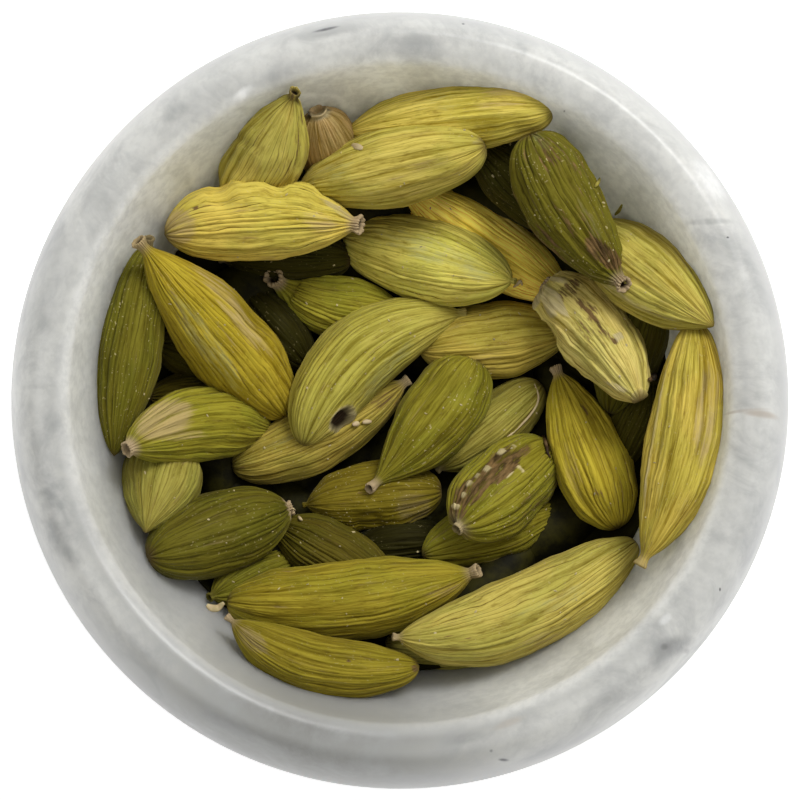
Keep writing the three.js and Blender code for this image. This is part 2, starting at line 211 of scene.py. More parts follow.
PODS = [
    Pod("dark", (218, 257), (350, 258), 58, tip_sharp=0.45, shade=-0.8),
    Pod("dark", (312, 372), (238, 288), 60, collar=0.6, shade=-0.88),
    Pod("olive", (262, 396), (148, 398), 56, shade=-0.73),
    Pod("olive", (150, 342), (252, 372), 56, shade=-0.74),
    Pod("dark", (345, 552), (452, 540), 56, shade=-0.91),
    Pod("green", (210, 598), (300, 560), 56, collar=0.6, stalk=0.15, shade=-0.45),
    Pod("fresh", (520, 644), (385, 644), 54, shade=-0.25),
    Pod("dark", (653, 378), (612, 470), 52, collar=0.9, stalk=0.1, shade=-0.66),
    Pod("dark", (563, 508), (422, 556), 66, collar=0.5, speck=0.3, shade=0.3),
    Pod("dark", (468, 132), (575, 228), 70, collar=0.5, shade=-0.78),
    Pod("green", (655, 272), (610, 414), 68, collar=0.6, ribs=1.3, shade=-0.68),
    Pod("green", (150, 238), (115, 456), 64, (131, 345), tip_sharp=0.8, speck=0.6, lift=0.8,
        collar=0.7, shade=-0.5, ribbed=60, ribs=1.2),
    Pod("fresh", (174, 438), (147, 533), 82, ribs=0.5, tip_sharp=1.15, belly=0.4, shade=-0.3,
        marks=(Mark((147, 519), 0.7, 0.9, 90, dent=-0.15, pale=0.3),
        Mark((180, 455), 2.0, 1.0, 0, tan=0.4))),
    Pod("tan", (318, 108), (350, 205), 60, stem_sharp=0.42, belly=0.4, neck=0.3, collar=1.1,
        ribs=0.1, shade=0.3, open=0.3,
        marks=(Mark((320, 117), 1.2, 0.75, -10, pale=1.0, dent=-0.25),
        Mark((322, 123), 0.7, 0.2, 15, hollow=0.9), Mark((312, 118), 0.22, 0.45, 0, hollow=0.9),
        Mark((327, 113), 0.2, 0.3, 0, hollow=0.8))),
    Pod("bright", (297, 90), (233, 216), 76, (268, 152), stem_sharp=0.75, belly=0.62, neck=1.3,
        lift=0.8, collar=0.75, stalk=0.25, keels=((-75, 0.22, 0.1), (40, 0.25, 0.1),
        (62, 0.2, 0.1)), lump=1.3, marks=(Mark((296, 97), 0.9, 0.9, 0, scar=0.6),
        Mark((300, 102), 0.3, 0.5, 0, hollow=0.6),
        Mark((300, 140), 4.0, 0.35, 82, scar=0.45, dent=0.12),
        Mark((248, 142), 0.25, 3.2, 55, dent=0.12, scar=0.2))),
    Pod("bright", (343, 132), (556, 107), 70, (450, 113), tip_sharp=0.42, belly=0.6, ribs=0.25,
        collar=0.5, shade=0.58, warm=0.1, marks=(Mark((440, 98), 4.0, 1.2, 5, dust=0.35),
        Mark((500, 100), 3.0, 1.4, 0, tan=0.3))),
    Pod("golden", (398, 182), (565, 296), 75, ribs=0.8, ribbed=60, lump=0.6, warm=0.15, shade=1.1,
        marks=(Mark((508, 212), 3.5, 1.3, -38, tan=0.35),)),
    Pod("golden", (574, 330), (418, 350), 78, ribs=0.8, ribbed=-30, collar=0.5, shade=-0.15,
        marks=(Mark((480, 365), 4.0, 1.0, 12, tan=0.3),)),
    Pod("golden", (408, 380), (231, 467), 66, (314, 438), collar=0.75, stalk=0.7, ribs=0.8,
        tip_sharp=0.5, shade=-0.4, speck=0.3, marks=(Mark((240, 462), 1.0, 1.0, 0, scar=0.4),
        Mark((282, 440), 2.5, 0.5, 25, dust=0.5), Mark((385, 395), 2.0, 1.5, 35, scar=0.4))),
    Pod("fresh", (436, 472), (541, 385), 60, tip_sharp=0.45, collar=0.5, ribs=0.5, shade=-0.25),
    Pod("olive", (302, 506), (441, 492), 70, (372, 497), collar=0.4, tip_sharp=0.45, stalk=0.1,
        ribs=0.7, speck=0.8, shade=-0.52, warm=0.2, lump=1.5,
        marks=(Mark((412, 506), 2.2, 1.6, 0, tan=0.45), Mark((355, 500), 2.5, 1.2, 10, scar=0.3),
        Mark((370, 524), 1.6, 1.3, 0, dent=0.3), Mark((405, 528), 1.6, 1.3, 0, dent=-0.25))),
    Pod("olive", (398, 594), (276, 526), 66, ribs=1.3, shade=-0.78,
        marks=(Mark((330, 548), 3.0, 0.9, -20, scar=0.3),)),
    Pod("olive", (228, 616), (420, 666), 62, (315, 664), neck=1.6, collar=0.45, tip_sharp=0.5,
        ribs=0.45, shade=-0.3, stalk=0.8, warm=0.1, marks=(Mark((350, 661), 0.22, 0.16, 0, scar=1),
        Mark((416, 668), 0.4, 0.4, 60, scar=0.8), Mark((255, 640), 2.2, 1.0, -40, tan=0.6))),
    Pod("golden", (641, 566), (696, 320), 78, (686, 450), neck=1.8, stem_sharp=0.8, belly=0.55,
        collar=0.85, ribs=0.35, ribbed=-60, speck=0.3, shade=0.02, open=0.2, keels=((-60, 0.3, 0.6),
        (-80, 0.2, 0.3)), marks=(Mark((709, 410), 6.0, 1.3, 85, tan=0.55),
        Mark((662, 470), 5.0, 0.7, 84, dust=0.35), Mark((648, 545), 2.0, 1.0, 70, scar=0.35))),
    Pod("bright", (585, 225), (716, 326), 84, tip_sharp=0.9, belly=0.45, ribs=0.4, ribbed=40,
        keels=((52, 0.3, 0.5), (62, 0.25, 0.4), (36, 0.2, 0.2)),
        marks=(Mark((668, 262), 1.4, 0.5, -30, dust=0.3),
        Mark((700, 316), 2.0, 1.0, -35, scar=0.3))),
    Pod("green", (272, 279), (398, 312), 66, (332, 306), stem_sharp=0.8, belly=0.62, tip_sharp=0.5,
        neck=0.4, lift=2.2, collar=1.25, stalk=1.0, keels=((-62, 0.22, 0.2), (60, 0.25, 0.2)),
        ribs=1.3, shade=-0.1),
    Pod("fresh", (516, 281), (344, 238), 86, tip_sharp=0.5, belly=0.5, neck=0.6, collar=0.45,
        stalk=0.2, ribbed=-75, ribs=1.1, lump=0.8, speck=0.8, shade=0.5,
        marks=(Mark((425, 248), 5.5, 1.7, -20, dust=0.55),
        Mark((470, 268), 3.0, 1.2, -25, dust=0.5), Mark((462, 262), 1.4, 0.4, -20, scar=0.25),
        Mark((452, 300), 0.15, 0.4, 0, pale=0.8))),
    Pod("bright", (296, 187), (487, 143), 80, tip_sharp=0.42, belly=0.55, ribs=0.35, lump=0.8,
        speck=0.3, shade=0.15, keels=((38, 0.25, 0.3),),
        marks=(Mark((481, 140), 0.35, 1.2, -60, pale=0.5), Mark((330, 170), 3, 1.2, 20, dust=0.4),
        Mark((420, 170), 4.0, 1.0, 14, tan=0.3))),
    Pod("golden", (362, 225), (165, 234), 80, (258, 219), stem_sharp=0.72, tip_sharp=0.62,
        belly=0.5, neck=1.2, lift=0.5, collar=1.15, stalk=0.9, ribs=1.2, lump=1.3,
        keels=((48, 0.35, 0.3), (-50, 0.25, 0.2)), marks=(Mark((250, 186), 2.4, 1.8, 0, dent=-0.35),
        Mark((303, 192), 1.8, 1.5, 0, dent=-0.3), Mark((222, 194), 1.4, 1.6, 0, dent=0.45),
        Mark((276, 185), 1.2, 1.2, 0, dent=0.25), Mark((180, 226), 2.0, 1.9, 0, tan=0.75),
        Mark((260, 262), 5.5, 0.8, 4, tan=0.4),
        Mark((338, 207), 2.2, 0.4, -35, pale=0.6, dent=-0.15),
        Mark((199, 205), 0.25, 1.0, -20, scar=0.5, dent=0.15),
        Mark((320, 220), 2.0, 1.0, -15, tan=0.5))),
    Pod("dark", (626, 287), (532, 133), 78, (571, 210), tip_sharp=0.46, belly=0.62, neck=1.0,
        lift=1.6, collar=0.95, stalk=0.9, rough=1.0, shade=-0.25, speck=0.9, ribs=1.5,
        marks=(Mark((607, 252), 1.2, 2.6, 55, scar=0.9), Mark((552, 150), 2.0, 1.2, -60, scar=0.5),
        Mark((545, 140), 1.5, 0.8, -50, dust=0.6), Mark((583, 205), 6.0, 1.0, -60, scar=0.35),
        Mark((565, 215), 5.5, 0.6, -58, scar=0.3), Mark((595, 225), 4.0, 0.6, -62, dust=0.5))),
    Pod("straw", (545, 283), (641, 401), 76, (598, 333), stem_sharp=0.30, tip_sharp=0.62,
        belly=0.42, neck=0.2, lift=0.4, collar=1.0, stalk=0.9, ribs=1.0, rough=0.5, lump=1.6,
        shade=0.25, open=0.0, marks=(Mark((572, 288), 1.0, 1.8, -50, scar=0.6),
        Mark((560, 300), 2.4, 0.5, -58, pale=0.8, dent=-0.25),
        Mark((596, 318), 3.4, 0.9, -52, scar=0.55),
        Mark((619, 338), 0.7, 0.6, -30, pale=0.9, dent=-0.3),
        Mark((616, 343), 0.6, 0.25, -30, scar=0.9), Mark((548, 335), 2.0, 1.2, 80, dent=0.45),
        Mark((640, 398), 0.8, 0.8, 0, dent=-0.3, pale=0.5),
        Mark((618, 388), 1.6, 0.3, -25, pale=0.7, dent=-0.15),
        Mark((553, 300), 2.0, 0.7, -70, pale=0.8, dent=-0.2),
        Mark((543, 292), 1.6, 0.5, 60, pale=0.9, dent=-0.25),
        Mark((560, 277), 1.4, 0.4, -20, pale=0.7, dent=-0.2))),
    Pod("green", (456, 530), (549, 449), 84, stem_sharp=0.5, tip_sharp=0.45, neck=0.5, collar=0.6,
        rough=0.5, ribs=0.9, shade=-0.2, speck=0.6, open=0.2, keels=((10, 0.25, 0.2),
        (35, 0.25, 0.2), (-22, 0.25, 0.2)), marks=(Mark((500, 468), 3.2, 1.5, 42, scar=0.9),
        Mark((472, 492), 2.6, 1.3, 48, scar=0.85), Mark((458, 512), 1.6, 1.0, 70, scar=0.7),
        Mark((520, 450), 1.6, 0.9, 30, scar=0.6), Mark((521, 469), 0.3, 0.6, 30, pale=1, dent=-0.3),
        Mark((488, 470), 0.5, 0.35, 30, pale=1, dent=-0.3),
        Mark((503, 453), 0.5, 0.3, 35, pale=1, dent=-0.3),
        Mark((510, 476), 0.2, 0.6, -45, pale=0.8, dent=-0.15),
        Mark((478, 478), 0.3, 0.25, 0, pale=0.9, dent=-0.2),
        Mark((470, 486), 0.4, 0.3, 0, pale=0.9, dent=-0.25),
        Mark((464, 497), 0.3, 0.35, 0, pale=0.9, dent=-0.2),
        Mark((457, 509), 0.4, 0.35, 0, pale=1, dent=-0.3),
        Mark((456, 520), 0.35, 0.3, 0, pale=1, dent=-0.25),
        Mark((515, 447), 0.3, 0.2, 0, pale=0.8, dent=-0.2),
        Mark((461, 529), 0.8, 0.8, 0, pale=0.8, dent=-0.25),
        Mark((455, 524), 0.35, 0.2, 0, hollow=0.9))),
    Pod("olive", (555, 367), (618, 529), 78, (588, 452), stem_sharp=0.8, tip_sharp=0.5, belly=0.55,
        neck=1.3, collar=0.85, stalk=0.9, ribs=0.9, shade=0.18, keels=((-52, 0.35, 0.3),
        (58, 0.3, 0.2), (5, 0.25, 0.15)), warm=0.1,
        marks=(Mark((585, 408), 0.9, 0.3, -50, scar=0.6), Mark((572, 470), 3.5, 0.8, -75, tan=0.35),
        Mark((600, 500), 3.0, 0.7, -65, scar=0.3))),
    Pod("green", (128, 450), (266, 428), 75, (200, 424), stem_sharp=0.62, tip_sharp=0.5, neck=0.7,
        collar=1.0, stalk=1.0, ribs=0.8, shade=-0.07, open=0.3,
        marks=(Mark((166, 422), 3.5, 2.2, 25, tan=0.85, scar=0.1),
        Mark((180, 438), 3.4, 0.6, 5, tan=0.6))),
    Pod("olive", (139, 240), (284, 413), 86, (216, 330), stem_sharp=0.85, tip_sharp=0.48, belly=0.6,
        neck=2.2, collar=0.95, stalk=0.7, ribs=0.9, ribbed=25, warm=0.25, shade=0.12,
        marks=(Mark((232, 305), 6.5, 1.2, -52, tan=0.5), Mark((205, 340), 7.0, 1.4, -52, dust=0.45),
        Mark((172, 300), 4.0, 0.8, -60, scar=0.3))),
    Pod("dark", (292, 508), (150, 557), 84, (221, 533), stem_sharp=0.62, tip_sharp=0.5, belly=0.5,
        neck=0.4, collar=0.9, stalk=1.0, ribs=1.4, ribbed=-30, lift=0.5, speck=0.3, shade=-0.38,
        keels=((20, 0.22, 0.1),)),
    Pod("bright", (394, 637), (636, 543), 80, (512, 618), stem_sharp=0.75, tip_sharp=0.48,
        belly=0.55, neck=1.2, collar=0.5, stalk=0.7, ribs=0.9, ribbed=-20, lump=0.8,
        keels=((-48, 0.2, 0.2),), speck=0.2, shade=-0.14,
        marks=(Mark((560, 600), 5.0, 1.0, 25, dust=0.45), Mark((540, 640), 2.5, 0.8, 15, tan=0.35),
        Mark((450, 640), 3.0, 0.8, 8, scar=0.25))),
    Pod("olive", (479, 571), (228, 602), 80, (352, 601), stem_sharp=0.7, tip_sharp=0.45, belly=0.5,
        neck=1.6, collar=0.95, stalk=0.8, ribs=0.6, lift=0.4, shade=-0.2, lump=1.3,
        marks=(Mark((270, 570), 3.0, 1.0, 10, scar=0.25), Mark((440, 590), 3.0, 0.8, 12, tan=0.3))),
    Pod("green", (369, 490), (474, 360), 80, (432, 424), stem_sharp=1.1, tip_sharp=0.4, belly=0.62,
        neck=1.0, lift=0.8, collar=0.75, stalk=0.9, ribs=0.6, lump=1.3, speck=0.9, shade=-0.18),
    Pod("fresh", (466, 314), (303, 446), 82, (362, 353), stem_sharp=0.72, tip_sharp=0.58,
        belly=0.58, neck=1.0, collar=0.92, stalk=0.35, ribs=0.8, ribbed=25, lump=0.8, warm=0.1,
        marks=(Mark((342, 418), 1.9, 1.05, 47, dent=-0.25, pale=1.0),
        Mark((341, 418), 1.5, 0.68, 47, dent=0.5, hollow=1.0),
        Mark((385, 370), 4.5, 0.9, 48, dust=0.6), Mark((330, 380), 4.5, 0.7, 55, scar=0.2))),
]

# The slot and the node of every piece of the heap.
HEAP = ("cardamom_husk", "cardamom_heap")
KINDS = ("golden", "bright", "fresh", "olive", "green", "dark", "straw", "tan")
PAINTS = ("scar", "pale", "hollow", "tan", "dust")


# ---- where pods lie --------------------------------------------------------------------------


def on_grid(point, height=GRID_HEIGHT):
    """The place in mm of a point of the grid that is at a height."""
    above = height - GRID_HEIGHT
    scale = GRID_PER_MM * VIEW_DISTANCE / (VIEW_DISTANCE - above)
    centre = np.add(GRID_CENTRE, np.multiply(GRID_LEAN, above))
    return (np.array(point, float) - centre) * (1, -1) / scale


def half_width(pod):
    """Half of a pod's width in mm."""
    return 0.5 * pod.width / GRID_PER_MM


def run_of(pod, along, rest):
    """Points of a pod's run in plan, and its headings, for shares of the way from stem to tip."""
    level, slope = rest
    stem, tip = on_grid(pod.stem, level - slope / 2), on_grid(pod.tip, level + slope / 2)
    halfway = (stem + tip) / 2
    pull = 2 * on_grid(pod.middle, level) - halfway if pod.middle else halfway
    t = np.asarray(along, float)[..., None]
    points = (1 - t) ** 2 * stem + 2 * t * (1 - t) * pull + t**2 * tip
    headings = 2 * (1 - t) * (pull - stem) + 2 * t * (tip - pull)
    return points, headings / np.linalg.norm(headings, axis=-1, keepdims=True)


class Settler:
    """Lays pods one by one on the core, the wall and the pods already there."""

    CONTACTS = 9
    WALL_NESTING = 0.76

    def __init__(self, bowl, pods):
        self.bowl, self.pods = bowl, pods
        self.laid = []

    def reach(self, pod, along):
        """Rough half widths in mm at shares of the way along."""
        belly = np.sin(np.pi * along**0.95) ** 0.55
        return half_width(pod) * np.maximum(0.2, belly)

    def wall_support(self, outward, reach):
        """Height in mm where the wall holds a pod at a distance from the middle."""
        inset = self.WALL_NESTING * reach
        share = min(1.0, outward / (self.bowl.girth / MM - inset))
        centre = cavity_edge(self.bowl)[2] / MM
        return centre - (self.bowl.rise / MM - inset) * math.sqrt(1 - share**2)

    def support(self, place, reach):
        """Height in mm where all that is there holds a pod at a place."""
        outward = float(np.hypot(*place))
        height = core_level(self.pods, self.bowl, outward) + reach
        height = max(height, self.wall_support(outward, reach))
        for below, below_reach, below_height in self.laid:
            nearest = self.pods.nesting * (reach + below_reach)
            gap = float(np.hypot(*(place - below)))
            if gap < nearest:
                height = max(height, below_height + math.sqrt(nearest**2 - gap**2))
        return height

    def rest(self, along, supports):
        """The lowest middle that the supports allow, lying as level as they let it."""
        lever = 0.5 - along
        level = -math.inf
        for i in np.flatnonzero(lever >= 0):
            for j in np.flatnonzero(lever <= 0):
                span = lever[i] - lever[j]
                share = lever[i] / span if span > 0 else 0.0
                level = max(level, supports[i] + share * (supports[j] - supports[i]))
        slopes = (level - supports)[lever != 0] / lever[lever != 0]
        before = lever[lever != 0] > 0
        return level, min(slopes[before].min(), max(slopes[~before].max(), 0.0))

    def lay(self, pod, seen_at):
        """Lays a pod that is seen at a level and slope, and gives those that it comes to."""
        along = (np.arange(self.CONTACTS) + 0.5) / self.CONTACTS
        places, _ = run_of(pod, along, seen_at)
        reaches = self.pods.thickness * self.reach(pod, along)
        supports = np.array([self.support(p, r) for p, r in zip(places, reaches)])
        level, slope = self.rest(along, supports)
        self.laid += zip(places, reaches, level + slope * (along - 0.5))
        return level, slope


def settle(bowl, pods):
    """Level and slope of each pod. A second round places each at the height it came to rest at."""
    rests = [(GRID_HEIGHT, 0.0)] * len(PODS)
    for _ in range(ROUNDS):
        settler = Settler(bowl, pods)
        rests = [settler.lay(pod, rest) for pod, rest in zip(PODS, rests)]
    return rests


def cavity_edge(bowl):
    """Where the wall meets the rounded edge: the radius and the lean, and the ellipse's middle."""
    radius = bowl.girth * math.cos(bowl.edge_angle)
    lean = math.atan(bowl.girth * math.tan(bowl.edge_angle) / bowl.rise)
    height = bowl.height - bowl.edge_round * (1 - math.sin(lean))
    return radius, lean, height + bowl.rise * math.sin(bowl.edge_angle)


def core_level(pods, bowl, outward):
    """Height in mm of the core's dished top at a distance in mm from the middle."""
    return (pods.core_height + pods.core_rise * (outward * MM / cavity_edge(bowl)[0]) ** 2) / MM


# ---- pod shells ------------------------------------------------------------------------------

# The stem end, from the bottom of its hollow over the lip to the neck: mm along and share of the
# collar.
COLLAR = ((0.50, 0.22), (0.34, 0.50), (0.12, 0.64), (0.0, 0.76), (-0.04, 0.90), (0.06, 1.0),
          (0.20, 0.97), (0.40, 0.84), (0.65, 0.77))
IN_HOLLOW = 2
LIP_RING = 5
LIP_LENGTH = 0.5
LIP_WAVES = ((0.10, 2, 1.0), (0.07, 5, 2.0))
SKIN_START = 0.65
NECK_SHARE = 0.74
NUB_RADIUS = 0.30
NUB_LENGTH = 0.04
NUB_FADE = 0.5
LIFT_LENGTH = 2.4
RIB_LEAST, RIB_FADE = 0.35, 1.6
THIN_UNDER, THIN_FADE = 1.9, 1.1
KEEL_WIDTH = 0.085
RIBBED_WIDTH = 0.9
MARK_LEVEL = 0.7
MARK_EDGE = 1.4
TOP_BIAS = 0.4
MARKED_SIDE = -0.3
MM_PER_CM = 10


def capped_tube(rings, around):
    """Quads between rings of corners, and triangles to the two end corners after them."""
    corner = np.arange(rings * around).reshape(rings, around)
    here, there = corner[:-1], corner[1:]
    quads = np.stack([here, np.roll(here, -1, 1), np.roll(there, -1, 1), there], -1)
    start = np.column_stack([np.full(around, corner.size), np.roll(corner[0], -1), corner[0]])
    finish = np.column_stack(
        [corner[-1], np.roll(corner[-1], -1), np.full(around, corner.size + 1)])
    return quads.reshape(-1, 4), np.vstack([start, finish])


def body_reach(pod, at, full, least_at_stem):
    """Radius of a pod in mm at distances from its stem end."""
    body_start = 0.4 * pod.neck
    share = np.clip((at - body_start) / (full - body_start), 0, 1)
    before = share < pod.belly
    away = np.where(before, (pod.belly - share) / pod.belly, (share - pod.belly) / (1 - pod.belly))
    sharp = np.where(before, pod.stem_sharp, pod.tip_sharp)
    body = half_width(pod) * np.maximum(1 - away**2.1, 0) ** sharp
    least = np.where(before, least_at_stem, NUB_RADIUS * np.minimum(1, (full - at) / 0.3 + 0.25))
    return (body**4 + least**4) ** 0.25


def bell(angle, middle, width):
    """1 at an angle, falling off on both sides of it, all round the circle."""
    return np.exp((np.cos(angle - middle) - 1) / width**2)


def relief_of(pod, reach, angle, half):
    """How strongly each corner is ribbed, what its keels add in mm, and how pale they are."""
    ribs = pod.ribs * np.clip((reach - RIB_LEAST) / RIB_FADE, 0, 1)[:, None] ** 0.6
    ribs = ribs * np.ones_like(angle)[None, :]
    if pod.ribbed is not None:
        ribs = ribs * (0.3 + 0.7 * bell(angle, math.radians(pod.ribbed), RIBBED_WIDTH))[None, :]
    raised, pale = np.zeros_like(ribs), np.zeros_like(ribs)
    for middle, height, paleness in pod.keels:
        ridge = bell(angle, math.radians(middle), KEEL_WIDTH)[None, :]
        ridge = ridge * np.clip(reach / half, 0.2, 1)[:, None]
        raised += height * ridge
        pale += paleness * ridge
    return ribs, raised, pale


def spine(pod, rest, at, full):
    """Centres in mm of a pod's rings, and the ways along, sideways and up at each."""
    level, slope = rest
    share = np.clip(at / full, 0, 1)
    plan, heading = run_of(pod, share, rest)
    turned_up = np.clip(1 - at / LIFT_LENGTH, 0, 1)
    rise = level + slope * (share - 0.5) + pod.lift * turned_up**2
    climb = slope / full - 2 * pod.lift / LIFT_LENGTH * turned_up
    tangent = np.column_stack([heading, climb])
    tangent /= np.linalg.norm(tangent, axis=1, keepdims=True)
    centre = np.column_stack([plan, rise]) + tangent * np.minimum(at, 0)[:, None]
    side = np.column_stack([heading[:, 1], -heading[:, 0], np.zeros(len(at))])
    return centre, tangent, side, np.cross(side, tangent)


def paint_marks(pod, height, corners, facing_up, painted):
    """Paints a pod's marks on the side that shows, and gives in mm how deep they dent it."""
    dents = np.zeros_like(facing_up)
    for mark in pod.marks:
        away = corners[..., :2] - on_grid(mark.at, height)
        turn = math.radians(mark.turn)
        lengthways = away @ np.array([math.cos(turn), math.sin(turn)]) / mark.long
        across = away @ np.array([-math.sin(turn), math.cos(turn)]) / mark.wide
        weight = np.clip(MARK_EDGE * (1 - lengthways**2 - across**2), 0, 1)
        weight = weight * (facing_up > MARKED_SIDE)
        weight = weight * weight * (3 - 2 * weight)
        dents += mark.dent * weight
        for name in painted:
            painted[name] = np.maximum(painted[name], getattr(mark, name) * weight)
    return dents


def shell_of(pod, rest, number, pods, around, steps):
    """Corners, faces and attributes of one closed pod shell, in mm."""
    level, slope = rest
    ends = on_grid(pod.tip, level + slope / 2) - on_grid(pod.stem, level - slope / 2)
    full, half = math.hypot(*ends, slope), half_width(pod)
    collar = pod.collar * pods.collar_radius / MM
    collar_at, collar_share = np.array(COLLAR).T
    turn_in = 0.5 - 0.5 * np.cos(np.pi * np.arange(1, steps + 1) / steps)
    at = np.concatenate([collar_at, collar_at[-1] + (full - collar_at[-1]) * turn_in])
    skin = body_reach(pod, np.maximum(at, 0), full, NECK_SHARE * collar)
    rings = len(at)
    flare = np.concatenate([collar_share * collar, skin[len(COLLAR):]])
    widened = np.maximum(flare, skin * np.clip(at / SKIN_START, 0, 1) ** 2)
    reach = np.where(np.arange(rings) >= LIP_RING, widened, flare)
    centre, tangent, side, up = spine(pod, rest, at, full)

    even = 2 * np.pi * np.arange(around) / around
    angle = even - TOP_BIAS * np.sin(even)
    envelope = np.clip(reach / half, 0, 1)
    ribs, raised, keel_pale = relief_of(pod, reach, angle, half)
    lobes = 1 + pods.lobe * envelope[:, None] * np.cos(3 * angle)[None, :]
    uneven = sum(height * np.cos(times * angle + shift * number)
                 for height, times, shift in LIP_WAVES)
    lip = np.clip(1 - np.abs(at) / LIP_LENGTH, 0, 1)[:, None] * uneven[None, :]
    spoke = reach[:, None] * (lobes + lip) + raised
    flat = 1 - (1 - pods.thickness) * envelope
    out = (side[:, None, :] * np.sin(angle)[None, :, None]
           + up[:, None, :] * (np.cos(angle)[None, :] * flat[:, None])[..., None])
    corners = centre[:, None, :] + spoke[..., None] * out

    painted = {name: np.zeros_like(spoke) for name in PAINTS}
    painted["pale"] = keel_pale
    # The stem's hollow is painted dark, as painted shade.
    painted["hollow"][:IN_HOLLOW] = pod.open
    dents = paint_marks(pod, level + MARK_LEVEL * half, corners, out[..., 2], painted)
    corners -= dents[..., None] * out
    last = centre[-1] + tangent[-1] * NUB_LENGTH
    points = np.vstack([corners.reshape(-1, 3), centre[0], last])

    def grid(*columns):
        """Values for every corner from one for each ring, each spoke, or each of both."""
        spread = [np.broadcast_to(values, (rings, around)) for values in columns]
        filled = [np.append(values, values[[0, -1], 0]) for values in spread]
        return np.column_stack(filled) if len(filled) > 1 else filled[0]

    at, envelope = at[:, None], envelope[:, None]
    thin = np.clip((THIN_UNDER - reach) / THIN_FADE, 0, 1)[:, None]
    stalk = pod.stalk * np.clip(1 - (at - 0.3) / (0.5 * pod.neck + 0.5), 0, 1)
    nub = np.clip(1 - (full - at) / NUB_FADE, 0, 1)
    in_cm = np.clip(at / full, 0, 1) * full / MM_PER_CM
    fields = {
        "husk": grid(np.cos(angle), np.sin(angle), in_cm),
        "turn": grid((even / (2 * np.pi) + 0.5) % 1),
        "form": grid(ribs, thin, pod.lump * envelope),
        "ends": grid(stalk, nub, pod.rough * envelope),
        "marks": grid(*(painted[name] for name in ("scar", "pale", "hollow"))),
        "bloom": grid(painted["tan"], painted["dust"], envelope),
        "tint": np.tile([1 + pod.shade, pod.warm, pod.speck], (len(points), 1)),
        "seed": np.full(len(points), float(number)),
    }
    return points, *capped_tube(rings, around), fields


def mesh_from(name, shells, scale=MM):
    """One mesh from several shells of corners, quads, triangles and attributes."""
    corners, quads, triangles, fields, offset = [], [], [], {}, 0
    for points, four, three, values in shells:
        corners.append(points)
        quads.append(four + offset)
        triangles.append(three + offset)
        for key, value in values.items():
            fields.setdefault(key, []).append(value)
        offset += len(points)
    faces = np.vstack(quads).tolist() + np.vstack(triangles).tolist()
    mesh = bpy.data.meshes.new(name)
    mesh.from_pydata(np.vstack(corners) * scale, [], faces)
    for key, value in fields.items():
        store(mesh, key, np.concatenate(value))
    mesh.shade_smooth()
    return mesh


def store(mesh, name, values):
    """Keeps a number or a vector for each corner of a mesh."""
    kind = "FLOAT_VECTOR" if np.ndim(values) == 2 else "FLOAT"
    layer = mesh.attributes.new(name, kind, "POINT")
    field = "vector" if kind == "FLOAT_VECTOR" else "value"
    layer.data.foreach_set(field, np.ravel(values).astype(np.float32))


def placed(name, mesh, material, slot, *nodes):
    """A finished piece: at the origin, with its material, riding on the dish."""
    piece = bpy.data.objects.new(name, mesh)
    bpy.context.scene.collection.objects.link(piece)
    if material:
        mesh.materials.clear()
        mesh.materials.append(material)
    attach(piece, ROOT)
    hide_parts(*nodes)


# ---- node trees ------------------------------------------------------------------------------


class Wiring:
    """Adds nodes to a tree. A value that is a socket is linked, and any other value is set."""

    def __init__(self, tree):
        self.tree = tree

    def put(self, socket, value):
        if isinstance(value, bpy.types.NodeSocket):
            self.tree.links.new(value, socket)
        else:
            socket.default_value = value

    def add(self, kind, inputs=None, out=0, **settings):
        node = self.tree.nodes.new(kind)
        for name, value in settings.items():
            setattr(node, name, value)
        for name, value in (inputs or {}).items():
            self.put(node.inputs[name], value)
        return node.outputs[out]

    def math(self, operation, *values, clamp=False):
        values = dict(enumerate(values))
        return self.add("ShaderNodeMath", values, operation=operation, use_clamp=clamp)

    def times(self, *values):
        return reduce(lambda a, b: self.math("MULTIPLY", a, b), values)

    def plus(self, *values):
        return reduce(lambda a, b: self.math("ADD", a, b), values)

    def linear(self, value, slope, start):
        return self.math("MULTIPLY_ADD", value, slope, start)

    def centred(self, noise):
        return self.math("SUBTRACT", noise, 0.5)

    def vector(self, operation, *values):
        out = 1 if operation in ("LENGTH", "DOT_PRODUCT") else 0
        values = dict(enumerate(values))
        return self.add("ShaderNodeVectorMath", values, out=out, operation=operation)

    def stretched(self, vector, share):
        return self.add("ShaderNodeVectorMath", {0: vector, "Scale": share}, operation="SCALE")

    def joined(self, *values):
        return self.add("ShaderNodeCombineXYZ", dict(enumerate(values)))

    def split(self, vector):
        node = self.tree.nodes.new("ShaderNodeSeparateXYZ")
        self.put(node.inputs[0], vector)
        return node.outputs

    def place(self):
        """Where a point of a surface is in its object's own frame."""
        return self.add("ShaderNodeTexCoord", out=3)

    def noise(self, vector, scale=1.0, detail=2.0, roughness=0.5):
        values = {"Vector": vector, "Scale": scale, "Detail": detail, "Roughness": roughness}
        return self.add("ShaderNodeTexNoise", values)

    def ramp(self, value, low, high, to_low=0.0, to_high=1.0):
        values = {0: value, 1: low, 2: high, 3: to_low, 4: to_high}
        return self.add("ShaderNodeMapRange", values, interpolation_type="SMOOTHSTEP")

    def mix(self, share, a, b, blend="MIX"):
        values = {0: share, 6: a, 7: b}
        return self.add("ShaderNodeMix", values, out=2, data_type="RGBA", blend_type=blend)

    def tinted(self, share, colour, tint):
        """A colour times a tint, by a share."""
        return self.mix(share, colour, self.mix(1.0, colour, rgba(tint), "MULTIPLY"))

    def varied(self, share, colour, low, high):
        """A colour from one strength to another."""
        return self.mix(share, rgba(colour, low), rgba(colour, high))

    def bump(self, shader, strength, distance, height):
        values = {"Strength": strength, "Distance": distance, "Height": height}
        self.put(shader.inputs["Normal"], self.add("ShaderNodeBump", values))


